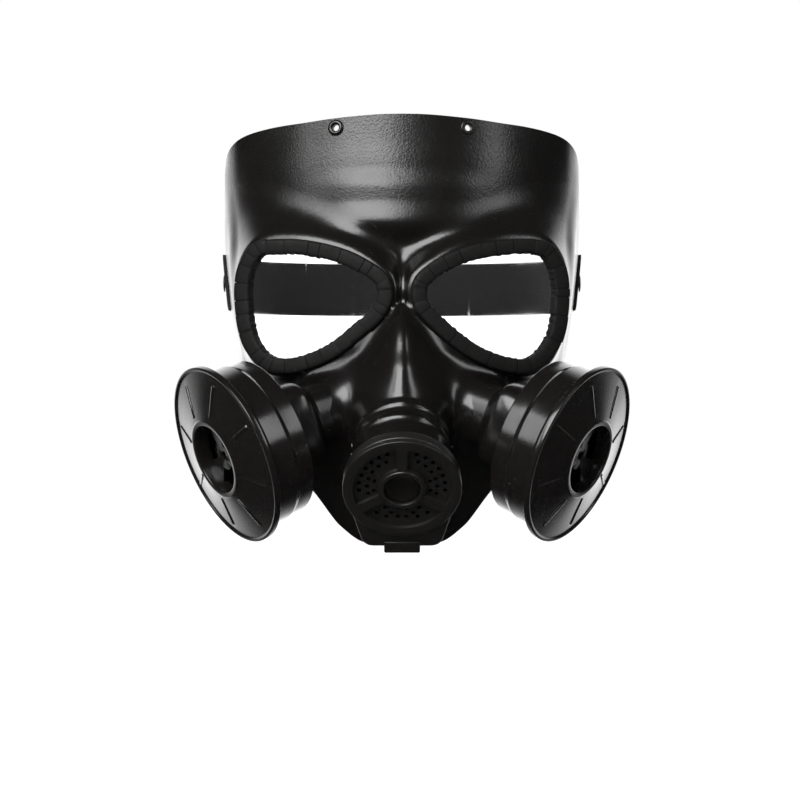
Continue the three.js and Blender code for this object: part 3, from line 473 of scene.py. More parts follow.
# The points settle on the smooth skin
co = coordinates(form)
near = np.abs(shell_side(co)) < 3.0
for _ in range(4):
    p = co[near]
    value = shell_side(p)
    slope = np.stack([(shell_side(p + d) - shell_side(p - d)) / 0.3 for d in 0.15 * np.eye(3)], -1)
    move = slope * (value / np.maximum((slope ** 2).sum(-1), 0.2))[:, None]
    limit = np.minimum(1, 1.5 / np.maximum(np.linalg.norm(move, axis=1), 1e-9))
    co[near] = p - move * limit[:, None]
move_points(form, co)


def fan_point(turn, height, share):
    """Point on a ray from the mask's middle line, at a share of the way out to the plain sheet."""
    a = np.radians(np.clip(np.abs(turn), 0, 90))
    half, front = column(FACE, 1, height), column(FACE, 2, height)
    straight = np.maximum(np.abs(turn) - 90, 0) / 10 * SIDE_REACH
    return np.stack([np.sign(turn) * share * half * np.sin(a),
                     front + DEPTH - share * DEPTH * np.cos(a) + straight, height + 0 * a], -1)


# Trimmed edges: all outside this wedge is cut away
turns = np.linspace(-100, 100, 401)
tops, bottoms = (column(EDGE, k, np.abs(turns)) for k in (1, 2))
shares = (0.2, 0.85, 1.0, 1.12, 1.25, 1.45, 2.0)
corners = [fan_point(turns, tops, share) for share in shares]
corners += [fan_point(turns, bottoms, share) for share in shares[::-1]]
cut_with(form, capped("edge_wedge", np.stack(corners, 1)), "INTERSECT")


def window_plug(inset, low, high, mirror, count=120):
    outline = eye_points(count, inset)
    x = EYE_X + outline[:, 0]
    on_land = np.stack([x, land_depth(x), EYE_Z + outline[:, 1]], -1)
    rows = [(on_land + h * land_normal(x)) * (mirror, 1, 1) for h in (low, high)]
    return capped("window_plug", rows)


OPENING_INSET = 4.4
QUARTER = math.radians(90)
skin_solid = copied(form, "skin_solid")
for mirror in (-1, 1):
    cut_with(form, window_plug(OPENING_INSET, -30, 14, mirror))
    for radius, centre, turn in ((1.5, (mirror * HOLE_X, 0, HOLE_Z), (QUARTER, 0, 0)),
                                 (2.1, (mirror * 89, RIVET_Y, RIVET_Z), (0, QUARTER, 0))):
        bpy.ops.mesh.primitive_cylinder_add(vertices=28, radius=radius * MM, depth=36 * MM,
                                            location=Vector(centre) * MM, rotation=turn)
        cut_with(form, bpy.context.object)
cut_with(form, capped("mouth_cut", snout_rows(snout_section(60.0, 30.0), (SNOUT_START, -30))))

# Only the outer skin is kept, and gets its wall
centres = np.empty(len(form.data.polygons) * 3)
form.data.polygons.foreach_get("center", centres)
loose = np.abs(shell_side(centres.reshape(-1, 3) / MM)) > 0.35
choose(form)
form.data.polygons.foreach_set("select", loose)
bpy.context.tool_settings.mesh_select_mode = (False, False, True)
bpy.ops.object.mode_set(mode="EDIT")
bpy.ops.mesh.delete(type="FACE")
bpy.ops.object.mode_set(mode="OBJECT")
modified(form, "SOLIDIFY", thickness=WALL * MM, offset=-1.0, use_even_offset=False, use_rim=True)
form.name = form.data.name = "moulded_face_shell"


# The shell's finish, and the tools for it that the other pieces' finishes use too
def effect(name, inputs, outputs):
    """Empty shader group with named inputs and outputs, each a number."""
    group = bpy.data.node_groups.new(name, "ShaderNodeTree")
    for labels, way in ((inputs, "INPUT"), (outputs, "OUTPUT")):
        for label in labels:
            group.interface.new_socket(label, in_out=way, socket_type="NodeSocketFloat")
    return group, group.nodes.new("NodeGroupInput"), group.nodes.new("NodeGroupOutput")


def noise(tree, scale, detail=3.0, roughness=0.55, vector=None, distortion=0.0):
    node = tree.nodes.new("ShaderNodeTexNoise")
    node.inputs["Scale"].default_value = scale
    node.inputs["Detail"].default_value = detail
    node.inputs["Roughness"].default_value = roughness
    node.inputs["Distortion"].default_value = distortion
    if vector is not None:
        tree.links.new(vector, node.inputs["Vector"])
    return node


# Handling marks: wiped smears in the gloss, dust specks and fine scratches
marks, marks_in, marks_out = effect("handling_marks", ("Smears", "Dust", "Scratches"),
                                    ("Dull", "Specks", "Height"))
place = marks.nodes.new("ShaderNodeTexCoord").outputs["Object"]
smear = ranged(marks, noise(marks, 26, 4, 0.6, place, 0.6).outputs["Fac"], 0.42, 0.72, 0, 1)
dull = maths(marks, "MULTIPLY", smear, marks_in.outputs["Smears"])
speck = ranged(marks, noise(marks, 900, 1, 0.4, place).outputs["Fac"], 0.74, 0.78, 0, 1)
patch = ranged(marks, noise(marks, 34, 2, 0.5, place).outputs["Fac"], 0.45, 0.65, 0.15, 1)
specks = maths(marks, "MULTIPLY", maths(marks, "MULTIPLY", speck, patch), marks_in.outputs["Dust"])
stretch = marks.nodes.new("ShaderNodeMapping")
stretch.inputs["Scale"].default_value = (1.0, 1.0, 0.05)
stretch.inputs["Rotation"].default_value = (0.5, 0.35, 0.4)
marks.links.new(place, stretch.inputs["Vector"])
line = ranged(marks, noise(marks, 420, 2, 0.5, stretch.outputs[0], 0.2).outputs["Fac"], 0.70, 0.76, 0, 1)
scratch = maths(marks, "MULTIPLY", maths(marks, "MULTIPLY", line, patch), marks_in.outputs["Scratches"])
marks.links.new(maths(marks, "ADD", dull, scratch), marks_out.inputs["Dull"])
marks.links.new(specks, marks_out.inputs["Specks"])
marks.links.new(maths(marks, "MULTIPLY", scratch, -1.0), marks_out.inputs["Height"])


def placed_marks(tree, smears, dust, scratches):
    node = tree.nodes.new("ShaderNodeGroup")
    node.node_tree = marks
    for label, value in (("Smears", smears), ("Dust", dust), ("Scratches", scratches)):
        node.inputs[label].default_value = value
    return node


def material(name, colour, roughness, specular=0.5):
    made = bpy.data.materials.new(name)
    made.use_nodes = True
    shader = made.node_tree.nodes["Principled BSDF"]
    shader.inputs["Base Color"].default_value = (*colour, 1)
    shader.inputs["Roughness"].default_value = roughness
    shader.inputs["Specular IOR Level"].default_value = specular
    return made, made.node_tree, shader


def bumped(tree, shader, height, strength, distance):
    bump = tree.nodes.new("ShaderNodeBump")
    bump.inputs["Strength"].default_value = strength
    bump.inputs["Distance"].default_value = distance
    tree.links.new(height, bump.inputs["Height"])
    tree.links.new(bump.outputs["Normal"], shader.inputs["Normal"])


def coloured(tree, shader, mask, dark, light):
    mix = tree.nodes.new("ShaderNodeMix")
    mix.data_type = "RGBA"
    mix.inputs[6].default_value = (*dark, 1)
    mix.inputs[7].default_value = (*light, 1)
    tree.links.new(mask, mix.inputs[0])
    tree.links.new(mix.outputs[2], shader.inputs["Base Color"])


GLOSS_BLACK = (0.0045, 0.004, 0.0037)
gloss, tree, shader = material("glossy_black_plastic", GLOSS_BLACK, 0.12)
place = tree.nodes.new("ShaderNodeTexCoord").outputs["Object"]
wear = placed_marks(tree, 0.5, 0.5, 0.35)
# Fine leathery grain, strongest on the forehead panel, where the mould was textured
height = tree.nodes.new("ShaderNodeSeparateXYZ")
tree.links.new(place, height.inputs[0])
forehead = ranged(tree, height.outputs["Z"], -0.05, -0.005, 0.16, 1.0)
grain = noise(tree, 950, 2.0, 0.5, place).outputs["Fac"]
swell = noise(tree, 120, 1.5, 0.5, place).outputs["Fac"]
relief = maths(tree, "ADD", maths(tree, "MULTIPLY", grain, forehead), maths(tree, "MULTIPLY", swell, 0.35))
relief = maths(tree, "ADD", relief, maths(tree, "MULTIPLY", wear.outputs["Height"], 0.4))
bumped(tree, shader, relief, 0.55, 0.00020)
coloured(tree, shader, wear.outputs["Specks"], GLOSS_BLACK, (0.07, 0.066, 0.062))
rough = ranged(tree, wear.outputs["Dull"], 0, 1, 0.19, 0.32)
tree.links.new(maths(tree, "ADD", rough, maths(tree, "MULTIPLY", forehead, 0.07)), shader.inputs["Roughness"])


def dressed(piece, finish, slot_name, *replaced):
    """Gives a finished piece its material and body, and hides the solids that it stands for; the slot name is
    not used.
    """
    piece.data.materials.clear()
    piece.data.materials.append(finish)
    choose(piece)
    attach(piece, "root")
    if replaced:
        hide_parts(*replaced)
    return piece


def smoothed(piece, degrees=38):
    choose(piece)
    bpy.ops.object.shade_smooth_by_angle(angle=math.radians(degrees))
    return piece


smoothed(form, 50)
dressed(form, gloss, "shell", "face_shell")


def skin_spot(x, z):
    """Place and outward direction of the skin straight behind a point of the front view."""
    ys = np.linspace(-70, 80, 1501)
    line = np.stack([np.full_like(ys, x), ys, np.full_like(ys, z)], -1)
    spot = line[np.argmax(shell_side(line) < 0)]
    out = np.array([(shell_side(spot + d) - shell_side(spot - d)) for d in 0.3 * np.eye(3)])
    return spot, out / np.linalg.norm(out)


def axes_on(normal):
    """Rows x, y and z of a frame whose z is the normal and whose y is as near up as can be."""
    z = np.asarray(normal, float) / np.linalg.norm(normal)
    x = np.cross((0, 0, 1), z)
    x /= np.linalg.norm(x)
    return np.array((x, np.cross(z, x), z))


# Hole rims: the panel's two forehead holes are punched through small moulded bosses; the one on the left of
# a front view stands up as a clear ring, and the other is almost flush.
def rounded(section, radius, points=4):
    """Closed section with its corners rounded, apart from those on the turning axis."""
    section = [np.array(p[:2], float) for p in section]
    out = []
    for i, p in enumerate(section):
        before, after = section[i - 1], section[(i + 1) % len(section)]
        if p[0] < 1e-6:
            out.append(p)
            continue
        a, b = before - p, after - p
        la, lb = np.linalg.norm(a), np.linalg.norm(b)
        r = min(radius, 0.45 * la, 0.45 * lb)
        start, end = p + a / la * r, p + b / lb * r
        out += [start * (1 - t) ** 2 + 2 * p * t * (1 - t) + end * t * t for t in np.linspace(0, 1, points)]
    return out


def turned(name, section, steps, origin=(0, 0, 0), axes=np.eye(3)):
    """Section of (radius, height) points spun round the frame's third axis."""
    bpy.ops.object.select_all(action="DESELECT")
    bpy.ops.mesh.primitive_circle_add(vertices=len(section), radius=0.01)
    piece = bpy.context.object
    piece.name = piece.data.name = name
    move_points(piece, np.array([(p[0], 0, p[1]) for p in section]))
    bpy.ops.object.mode_set(mode="EDIT")
    bpy.ops.mesh.select_all(action="SELECT")
    bpy.ops.mesh.spin(steps=steps, angle=2 * math.pi, center=(0, 0, 0), axis=(0, 0, 1))
    bpy.ops.object.mode_set(mode="OBJECT")
    mend(piece, 2e-6)
    move_points(piece, in_frame(coordinates(piece), np.asarray(origin, float), np.asarray(axes, float)))
    return piece


for side, height in (("left", 1.2), ("right", 0.4)):
    spot, out = skin_spot(-HOLE_X if side == "left" else HOLE_X, HOLE_Z)
    reach = 3.6 + 0.4 * height
    section = rounded([(1.75, -0.6), (reach, -0.6), (reach - 0.1, height * 0.45), (3.1, height),
                       (2.2, height), (1.6, height * 0.4)], 0.6)
    rim = turned("hole_rim_" + side, section, 48, spot, axes_on(out))
    smoothed(rim, 60)
    dressed(rim, gloss, "shell")


# Window edging: a flat strip of matte soft rubber is bent round each window and snipped across so that it
# follows the curve. Its web goes through the opening and holds the film; the cuts gape a little, and no two
# are alike.
EDGING_BLACK = (0.0045, 0.0044, 0.0042)
rubber, tree, shader = material("matte_black_rubber", EDGING_BLACK, 0.62, specular=0.14)
place = tree.nodes.new("ShaderNodeTexCoord").outputs["Object"]
wear = placed_marks(tree, 0.5, 0.9, 0.3)
fuzz = noise(tree, 1500, 3, 0.65, place).outputs["Fac"]
body = noise(tree, 160, 3, 0.6, place).outputs["Fac"]
bumped(tree, shader, maths(tree, "ADD", maths(tree, "MULTIPLY", fuzz, 0.5), body), 0.55, 0.00022)
lint = maths(tree, "MULTIPLY", wear.outputs["Specks"], 0.6)
pale = maths(tree, "ADD", lint, ranged(tree, fuzz, 0.35, 0.75, 0, 0.12))
coloured(tree, shader, pale, EDGING_BLACK, (0.045, 0.043, 0.041))
tree.links.new(ranged(tree, body, 0.3, 0.7, 0.5, 0.72), shader.inputs["Roughness"])

EDGING_LENGTH, SNIPS = 236.0, 27

def snipped_stations(seed):
    """Shares of the outline with the cut's depth and the tooth's own height and reach at each."""
    draw = np.random.default_rng(seed)
    share = np.arange(721) / 720
    p = eye_points(0, 0, share)
    leg = np.diff(p, axis=0)
    bend = np.abs(np.diff(np.unwrap(np.arctan2(leg[:, 1], leg[:, 0])), append=0))
    bend[-1] = bend[0]
    weight = np.concatenate(([0], np.cumsum(np.linalg.norm(leg, axis=1) + 7.0 * bend)))
    marks_at = (np.arange(SNIPS) + draw.uniform(-0.3, 0.3, SNIPS)) / SNIPS * weight[-1]
    cuts = np.sort(np.interp(marks_at % weight[-1], weight, share))
    stations = []
    for k in range(SNIPS):
        at, after = cuts[k], cuts[(k + 1) % SNIPS] + (k == SNIPS - 1)
        half = draw.uniform(0.08, 0.22) / EDGING_LENGTH
        next_half = 0.25 / EDGING_LENGTH
        depth = 0.06 + draw.uniform(0.25, 0.85) * (draw.random() > 0.35)
        lift, reach = draw.uniform(-0.12, 0.16), draw.uniform(-0.3, 0.3)
        stations += [(at - half * 0.55, depth, lift, reach), (at + half * 0.55, depth, lift, reach)]
        inner = max(3, int((after - at) * EDGING_LENGTH / 1.5))
        for t in np.linspace(0, 1, inner + 1):
            crown = 0.10 * math.sin(math.pi * t)
            stations.append((at + half + (after - at - half - next_half) * t, 0.0, lift + crown, reach))
    return np.array(sorted(stations))


EDGE_SECTION = np.array([  # inset, height
    (0.0, -0.4), (0.0, 1.5), (0.12, 2.2), (0.5, 2.7), (1.3, 2.95), (2.6, 3.05), (4.4, 3.08), (6.0, 2.95),
    (6.8, 2.7), (7.25, 2.2), (7.4, 1.5), (7.4, -2.0), (4.85, -2.0), (4.85, -0.4)])
for side, mirror, seed in (("left", -1, 5), ("right", 1, 11)):
    stations = snipped_stations(seed)
    share, depth, lift, reach = stations.T
    base = eye_points(0, 0, share)
    inward = eye_points(0, 1, share) - base
    rows = []
    for inset, height in EDGE_SECTION:
        top = np.clip(height - 1.0, 0, 1)
        gape = np.where((inset < 1) & (depth > 0), 0.35, 0)
        ragged = (inset > 7) * (0.2 * np.sin(382 * share + seed) + 0.16 * np.sin(609 * share) - reach)
        p = base + inward * (inset - reach * (inset < 1) * top + gape + ragged)[:, None]
        x = EYE_X + p[:, 0]
        level = height + (lift - depth) * top
        rows.append(np.stack([x, land_depth(x), EYE_Z + p[:, 1]], -1) + level[:, None] * land_normal(x))
    rows = np.array(rows + rows[:1])
    rows = np.concatenate((rows, rows[:, :1]), axis=1) * (mirror, 1, 1)
    trim = mend(grid_piece("window_edging_" + side, rows))
    smoothed(trim, 42)
    dressed(trim, rubber, "edging", "eye_trim_" + side)


# Window films: each window is a piece of clear film 0.8 mm thick, bent with the window land and held by the
# edging. It has gone slightly smoky, with hair scratches and a few specks of dust.
film, tree, shader = material("clear_film", (0.86, 0.87, 0.88), 0.03, specular=0.5)
shader.inputs["Transmission Weight"].default_value = 1.0
shader.inputs["IOR"].default_value = 1.46
wear = placed_marks(tree, 0.35, 1.0, 1.0)
coloured(tree, shader, wear.outputs["Specks"], (0.80, 0.81, 0.82), (0.62, 0.62, 0.62))
tree.links.new(ranged(tree, wear.outputs["Dull"], 0, 1, 0.02, 0.22), shader.inputs["Roughness"])
bumped(tree, shader, wear.outputs["Height"], 0.35, 0.00005)
for side, mirror in (("left", -1), ("right", 1)):
    outline = eye_points(150, OPENING_INSET + 0.45)
    centre = outline.mean(axis=0)
    shells = []
    for level in (-2.3, -3.1):
        discs = []
        for share in np.linspace(0, 1, 15):
            p = centre + (outline - centre) * share
            x = EYE_X + p[:, 0]
            discs.append(np.stack([x, land_depth(x), EYE_Z + p[:, 1]], -1) + level * land_normal(x))
        shells.append(discs if level > -3 else discs[::-1])
    rows = np.array(shells[0] + shells[1])
    rows = np.concatenate((rows, rows[:, :1]), axis=1) * (mirror, 1, 1)
    pane = mend(grid_piece("window_film_" + side, rows))
    smoothed(pane, 40)
    dressed(pane, film, "film", "lens_" + side)


# Snout collar: a separate satin moulding closes the snout behind the grille: a plate with the snout's
# outline, bored through for the air way, with a square catch lug at its foot.
SATIN_BLACK = (0.0075, 0.0068, 0.0063)
satin, tree, shader = material("satin_black_plastic", SATIN_BLACK, 0.4)
place = tree.nodes.new("ShaderNodeTexCoord").outputs["Object"]
wear = placed_marks(tree, 0.55, 0.7, 0.5)
spark = noise(tree, 1300, 2, 0.6, place).outputs["Fac"]
wave = noise(tree, 90, 2, 0.5, place).outputs["Fac"]
bumped(tree, shader, maths(tree, "ADD", maths(tree, "MULTIPLY", spark, 0.6), wave), 0.4, 0.00012)
coloured(tree, shader, wear.outputs["Specks"], SATIN_BLACK, (0.10, 0.095, 0.09))
tree.links.new(ranged(tree, wear.outputs["Dull"], 0, 1, 0.33, 0.52), shader.inputs["Roughness"])


def prism_of(name, outline, low, high, origin=(0, 0, 0), axes=np.eye(3)):
    """Outline extruded between two heights of a frame."""
    bpy.ops.object.select_all(action="DESELECT")
    bpy.ops.mesh.primitive_circle_add(vertices=len(outline), radius=0.01, fill_type="NGON")
    piece = bpy.context.object
    piece.name = piece.data.name = name
    move_points(piece, np.c_[outline, np.full(len(outline), low)])
    bpy.ops.object.mode_set(mode="EDIT")
    bpy.ops.mesh.select_all(action="SELECT")
    bpy.ops.mesh.extrude_region_move(TRANSFORM_OT_translate={"value": (0, 0, (high - low) * MM)})
    bpy.ops.object.mode_set(mode="OBJECT")
    mend(piece)
    move_points(piece, in_frame(coordinates(piece), np.asarray(origin, float), np.asarray(axes, float)))
    return piece


def bevelled(piece, width, segments=2, degrees=40):
    return modified(piece, "BEVEL", width=width * MM, segments=segments, limit_method="ANGLE",
                    angle_limit=math.radians(degrees), harden_normals=False)


collar = prism_of("snout_collar", snout_section(27.6, 4.0, arc=64), -9.5, -3.5, MOUTH, SNOUT_AXES)
bevelled(collar, 0.9, 3, 50)
lug = np.array([(-8.6, -40.5), (8.6, -40.5), (8.6, -33.8), (-8.6, -33.8)])
lug = prism_of("collar_lug", lug, -8.5, -2.5, MOUTH, SNOUT_AXES)
bevelled(lug, 0.8, 3, 50)
cut_with(collar, lug, "UNION")
bore = rounded([(0, -50), (18.7, -50), (18.7, -6.5), (23.7, -6.5), (23.7, 10), (0, 10)], 0.3)
cut_with(collar, turned("collar_bore", bore, 96, MOUTH, SNOUT_AXES))
smoothed(collar, 35)
dressed(collar, satin, "snout", "muzzle_collar")


# Grille: a round moulded disc pressed into the collar: three sunk fields of breathing holes between three
# spokes, and a lipped hub. All 42 holes go right through.
def sector_outline(inner, outer, start, end, half=0.0, points=28):
    """Part of a ring between two angles, with straight sides half a spoke away from its rays."""
    swing = lambda radius: math.degrees(math.asin(half / radius)) if half else 0
    outside = np.radians(np.linspace(start + swing(outer), end - swing(outer), points))
    inside = np.radians(np.linspace(end - swing(inner), start + swing(inner), points))
    return np.array([(outer * math.cos(a), outer * math.sin(a)) for a in outside]
                    + [(inner * math.cos(a), inner * math.sin(a)) for a in inside])


disc = rounded([
    (0, -5.4), (10.6, -5.4), (10.6, -5.0), (22.1, -5.0), (22.1, -6.2), (23.4, -6.2), (23.4, -3.2), (28, -3.2),
    (28, 0), (22.5, 0.15), (10.6, 0.15), (10.4, 0.8), (8.6, 0.8), (8.6, -4.2), (0, -4.2)], 0.55)
grille = turned("breathing_grille", disc, 120, MOUTH, SNOUT_AXES)
for start in (90, 210, 330):
    field = sector_outline(11.3, 23.1, start, start + 120, 2.5)
    cut_with(grille, prism_of("sunk_field", field, -2.0, 5, MOUTH, SNOUT_AXES))
places = []
for radius, start, end, count in ((20.3, 109.6, 185.7, 7), (16.5, 116.8, 193.6, 6), (13.4, 165, 188.8, 2)):
    places += [(radius * math.cos(a), radius * math.sin(a)) for a in np.radians(np.linspace(start, end, count))]
places += [(-2.0, -12.2), (-8.0, -12.2), (-5.1, -15.2), (-11.9, -15.2), (-2.0, -17.5), (-7.4, -17.5)]
places += [(-x, y) for x, y in places]
drills = []
for x, y in places:
    circle = np.array([(x + 1.05 * math.cos(a), y + 1.05 * math.sin(a)) for a in np.arange(18) * math.pi / 9])
    drills.append(prism_of("drill", circle, -9, 3, MOUTH, SNOUT_AXES))
cut_with(grille, joined(drills))
bevelled(grille, 0.22, 2, 45)
smoothed(grille, 35)
dressed(grille, satin, "snout", "muzzle_grille")
# The walls of the holes get a rougher, darker and less glossy finish than the face: painted shade, so that the
# holes read as dark shaded hollows
bore_painted_shade, tree, shader = material("rough_bore_painted_shade", (0.003, 0.0028, 0.0026), 0.9, specular=0.05)
pits = noise(tree, 1400, 2, 0.6, tree.nodes.new("ShaderNodeTexCoord").outputs["Object"]).outputs["Fac"]
coloured(tree, shader, pits, (0.002, 0.0018, 0.0017), (0.005, 0.0047, 0.0044))
bumped(tree, shader, pits, 0.5, 0.0001)
grille.data.materials.append(bore_painted_shade)
centres, normals = np.empty(len(grille.data.polygons) * 3), np.empty(len(grille.data.polygons) * 3)
grille.data.polygons.foreach_get("center", centres)
grille.data.polygons.foreach_get("normal", normals)
local = (centres.reshape(-1, 3) / MM - MOUTH) @ SNOUT_AXES.T
off = np.linalg.norm(local[:, None, :2] - np.array(places)[None], axis=-1).min(axis=1)
across = np.abs(normals.reshape(-1, 3) @ SNOUT_AXES[2]) < 0.35
# The hole walls picked here take the painted shade finish
painted_shade_walls = (off < 1.2) & across & (local[:, 2] < -2.0)
grille.data.polygons.foreach_set("material_index", painted_shade_walls.astype(int))


# Valve button: a plain dished button of the same glossy plastic as the shell, pressed into the grille's
# hub so that its rim lies a little below the lip.
dish = [(0, -3.9), (8.3, -3.9), (8.3, -1.2), (8.1, -0.95), (7.6, -0.9)]
dish += [(7.6 * s, -0.9 - 2.0 * (1 - s * s)) for s in np.linspace(1, 0, 14)[1:]]
button = turned("valve_dish", dish, 72, MOUTH, SNOUT_AXES)
smoothed(button, 40)
dressed(button, gloss, "shell", "valve_button")


# Canister drums: each side canister is a round moulded drum of semi-gloss plastic with a step behind its
# rim, empty inside. The right one is modelled, and the left is its mirror image.
CAN_AXES = axes_on(CAN_WAY)
CANISTER_BLACK = (0.006, 0.0055, 0.0051)
half_gloss, tree, shader = material("semi_gloss_black_plastic", CANISTER_BLACK, 0.3)
place = tree.nodes.new("ShaderNodeTexCoord").outputs["Object"]
wear = placed_marks(tree, 0.6, 0.55, 0.25)
skin = noise(tree, 900, 2, 0.55, place).outputs["Fac"]
flow = noise(tree, 60, 2.5, 0.5, place, 0.8).outputs["Fac"]
bumped(tree, shader, maths(tree, "ADD", maths(tree, "MULTIPLY", skin, 0.4), flow), 0.4, 0.00014)
coloured(tree, shader, wear.outputs["Specks"], CANISTER_BLACK, (0.10, 0.095, 0.09))
tree.links.new(ranged(tree, wear.outputs["Dull"], 0, 1, 0.16, 0.30), shader.inputs["Roughness"])


def mirrored(piece, name):
    other = copied(piece, name)
    move_points(other, coordinates(other) * (-1, 1, 1))
    other.data.flip_normals()
    return other


drum_section = rounded([
    (14, -25), (38.4, -25), (38.4, -16.6), (39.5, -15.0), (39.7, -4.4), (41, -4.0), (41, -2.4), (36.7, -2.4),
    (36.7, -23.2), (14, -23.2)], 0.8)
drum = turned("canister_drum_right", drum_section, 128, CAN_CENTRE, CAN_AXES)
smoothed(drum, 35)
other = mirrored(drum, "canister_drum_left")
dressed(drum, half_gloss, "canister", "filter_drum_right")
dressed(other, half_gloss, "canister", "filter_drum_left")


# Canister covers: the front of each canister, a lipped flange, a shallow cone with eight thin raised ribs,
# and a round well whose floor is a small plate on three legs, with open windows between them.
cover_section = rounded([
    (17, 6.5), (17, -1.5), (18.5, -1.5), (18.5, 4.5), (34.9, 0.1), (34.9, -7.5), (36.4, -7.5), (36.4, -2.1),
    (44.4, -2.1), (44.4, 0.8), (43.0, 1.0), (42.4, 0.1), (19.9, 6.1), (19.3, 6.6)], 0.5)
cover = turned("canister_cover_right", cover_section, 128, CAN_CENTRE, CAN_AXES)
slope = 6.0 / (42.4 - 19.9)
RIB_SECTION = ((-1.0, -1), (-0.95, 0.1), (-0.8, 0.55), (-0.5, 0.9), (0.0, 1.0), (0.5, 0.9), (0.8, 0.55),
               (0.95, 0.1), (1.0, -1))  # side, share of the height, below nought for the buried foot
RIB_RUN = ((21.8, 0.5, -0.4), (22.6, 0.8, 0.5), (29.5, 0.95, 0.6), (38.0, 1.1, 0.65), (38.7, 0.8, -0.4))
for k in range(8):
    angle = math.radians(22 + 45 * k)
    way = np.array((math.cos(angle), math.sin(angle), 0))
    across = np.array((-math.sin(angle), math.cos(angle), 0))
    rows = []
    for radius, width, rise in RIB_RUN:
        top = 6.1 - slope * (radius - 19.9)
        spine = way * radius
        rows.append([spine + across * width * side + (0, 0, top + (rise * share if share >= 0 else -1.0))
                     for side, share in RIB_SECTION])
    rows = in_frame(np.array(rows), CAN_CENTRE, CAN_AXES)
    cut_with(cover, capped("cover_rib", rows), "UNION")
plate = rounded([(0, -0.5), (17.8, -0.5), (17.8, 1.1), (0, 1.1)], 0.2)
well = turned("well_floor", plate, 96, CAN_CENTRE, CAN_AXES)
for leg in (88, 208, 328):
    gap = sector_outline(7.2, 16.9, leg + 22.5, leg + 97.5, 0.0, 22)
    cut_with(well, prism_of("well_window", gap, -4, 5, CAN_CENTRE, CAN_AXES))
hexagon = np.array([(2.4 * math.cos(a), 2.4 * math.sin(a)) for a in np.arange(6) * math.pi / 3])
cut_with(well, prism_of("well_hole", hexagon, -4, 5, CAN_CENTRE, CAN_AXES))
bevelled(well, 0.18, 2, 45)
cut_with(cover, well, "UNION")
smoothed(cover, 33)
other = mirrored(cover, "canister_cover_left")
dressed(cover, half_gloss, "canister", "filter_cover_right")
dressed(other, half_gloss, "canister", "filter_cover_left")


# Canister necks: a squarish glossy tube joins each drum to the cheek: soft corners, a rounded shoulder, and
# a round root that lands on the shell.
NECK = np.array([  # back, radius, squareness
    (25.3, 20.4, 2.1), (27, 21.6, 2.8), (29.5, 22, 3.2), (36, 22, 3.8), (39.6, 21.7, 4), (41.8, 20.6, 3.8),
    (43.2, 18.9, 3.4), (44.4, 17.6, 3.0), (46.5, 17, 2.5), (70, 17, 2)], float)


def neck_ring(back, inset):
    angles = np.arange(88) * 2 * math.pi / 88
    square, radius = column(NECK, 2, back), column(NECK, 1, back) - inset
    size = radius / (np.abs(np.cos(angles)) ** square + np.abs(np.sin(angles)) ** square) ** (1 / square)
    return np.c_[size * np.cos(angles), size * np.sin(angles), np.full(88, -back)]


backs = np.concatenate((np.linspace(25.3, 30, 9), np.linspace(33, 39, 4), np.linspace(40, 47, 15),
                        (52, 60, 69)))
rows = [neck_ring(b, 0) for b in backs] + [neck_ring(b, 2.0) for b in backs[::-1]]
rows = in_frame(np.array(rows + rows[:1]), CAN_CENTRE, CAN_AXES)
neck = mend(grid_piece("canister_neck_right", np.concatenate((rows, rows[:, :1]), axis=1)))
cut_with(neck, skin_solid)
choose(neck)
bpy.ops.object.mode_set(mode="EDIT")
bpy.ops.mesh.select_all(action="SELECT")
bpy.ops.mesh.separate(type="LOOSE")
bpy.ops.object.mode_set(mode="OBJECT")
parts = sorted(bpy.context.selected_objects, key=lambda o: -len(o.data.vertices))
for part in parts[1:]:
    bpy.data.objects.remove(part)
neck = parts[0]
neck.name = neck.data.name = "canister_neck_right"
smoothed(neck, 35)
other = mirrored(neck, "canister_neck_left")
dressed(neck, gloss, "shell", "filter_neck_right")
dressed(other, gloss, "shell", "filter_neck_left")


# Head strap: a black woven elastic band 28 mm wide goes from one side panel round the back to the other.
# Its ends lie flat on the outside of the panels, each under one rivet.
elastic, tree, shader = material("woven_elastic", (0.012, 0.012, 0.012), 0.85, specular=0.25)
shader.inputs["Sheen Weight"].default_value = 0.25
shader.inputs["Sheen Roughness"].default_value = 0.4
weave = tree.nodes.new("ShaderNodeUVMap")
weave.uv_map = "UVMap"
parts = tree.nodes.new("ShaderNodeSeparateXYZ")
tree.links.new(weave.outputs[0], parts.inputs[0])
rib = maths(tree, "SINE", maths(tree, "MULTIPLY", parts.outputs["Y"], 2 * math.pi * 330), 0)
warp = maths(tree, "SINE", maths(tree, "MULTIPLY", parts.outputs["X"], 2 * math.pi * 52), 0)
cloth = maths(tree, "ADD", maths(tree, "MULTIPLY", rib, 0.6), maths(tree, "MULTIPLY", warp, 0.4))
bumped(tree, shader, cloth, 0.6, 0.00018)
coloured(tree, shader, ranged(tree, cloth, -1, 1, 0, 1), (0.006, 0.006, 0.006), (0.026, 0.025, 0.025))


STRAP_WIDTH, STRAP_THICKNESS, STRAP_BACK = 28, 1.3, 192
PANEL_SHARE = 0.09


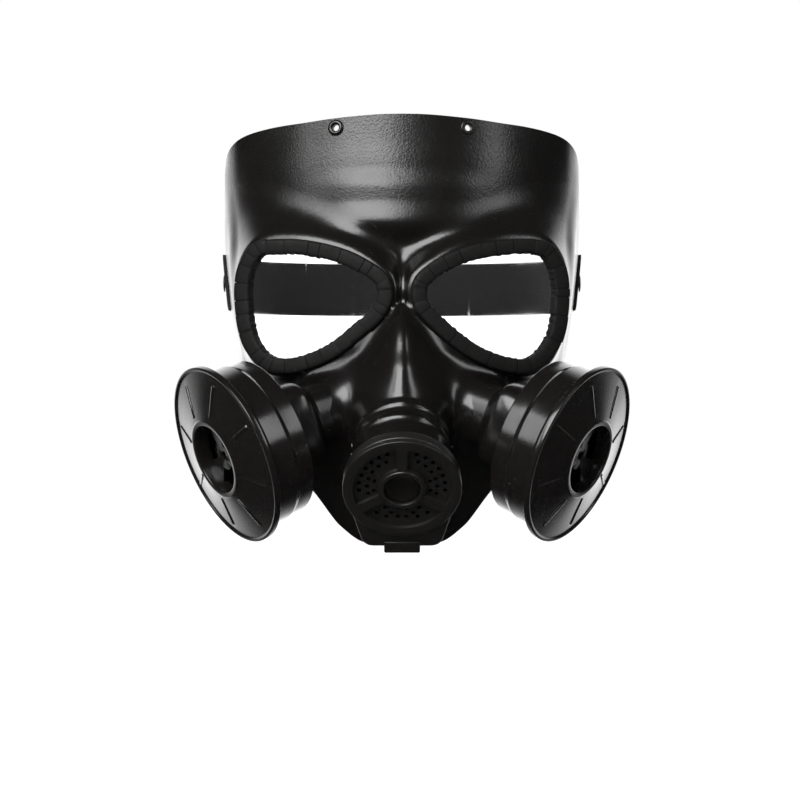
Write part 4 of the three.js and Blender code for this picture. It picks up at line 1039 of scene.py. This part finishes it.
def strap_station(length_share, z, inset):
    """Point of the strap's path at a height: straight along the panels and round the back."""
    half = column(FACE, 1, z) + 1.7 - inset
    turn_at, start = DEPTH + SIDE_REACH, DEPTH - 8
    depth = STRAP_BACK - turn_at - inset
    if length_share < PANEL_SHARE or length_share > 0.91:
        t = min(length_share, 1 - length_share) / PANEL_SHARE
        return np.array((-half if length_share < 0.5 else half, start + (turn_at - start) * t, z))
    angle = math.pi * (1 - (length_share - PANEL_SHARE) / 0.82)
    bent = lambda v: math.copysign(abs(v) ** 0.88, v)
    return np.array((half * bent(math.cos(angle)), turn_at + depth * bent(math.sin(angle)), z))


loop = []
for across, inset in ([(a, 0.12 * (abs(a) > 0.47)) for a in np.linspace(0.5, -0.5, 15)]
                      + [(a, STRAP_THICKNESS - 0.12 * (abs(a) > 0.47)) for a in np.linspace(-0.5, 0.5, 15)]):
    loop.append((RIVET_Z + STRAP_WIDTH * across, inset))
stations = np.concatenate((np.linspace(0, PANEL_SHARE, 10), np.linspace(PANEL_SHARE, 0.91, 121)[1:],
                           np.linspace(0.91, 1, 10)[1:]))
rows = [[strap_station(s, z, inset) for z, inset in loop] for s in stations]
strap = capped("elastic_head_strap", rows)
smoothed(strap, 50)
dressed(strap, elastic, "strap", "head_strap")


# Strap rivets: one plain domed rivet of dark plastic a side pins the strap's end to the side panel. Its
# shank goes through both, and its foot spreads on the inside.
RIVET_DARK = (0.016, 0.016, 0.018)
rivet_dark, tree, shader = material("dark_rivet_plastic", RIVET_DARK, 0.32)
wear = placed_marks(tree, 0.6, 0.5, 0.7)
tree.links.new(ranged(tree, wear.outputs["Dull"], 0, 1, 0.25, 0.45), shader.inputs["Roughness"])
coloured(tree, shader, wear.outputs["Specks"], RIVET_DARK, (0.09, 0.09, 0.09))
face = float(column(FACE, 1, RIVET_Z))
inside, outside = face - 2.5, face + 2.3
rivet_section = rounded([
    (0, inside - 1), (3.6, inside - 1), (3.6, inside), (1.8, inside), (1.8, outside), (4.6, outside),
    (4.3, outside + 0.55), (2.6, outside + 0.95), (0, outside + 1.0)], 0.35)
outward = np.array(((0, 0, -1), (0, 1, 0), (1, 0, 0)))
rivet = turned("strap_rivet_head_right", rivet_section, 48, (0, RIVET_Y, RIVET_Z), outward)
smoothed(rivet, 40)
other = mirrored(rivet, "strap_rivet_head_left")
dressed(rivet, rivet_dark, "rivet", "strap_rivet_right")
dressed(other, rivet_dark, "rivet", "strap_rivet_left")
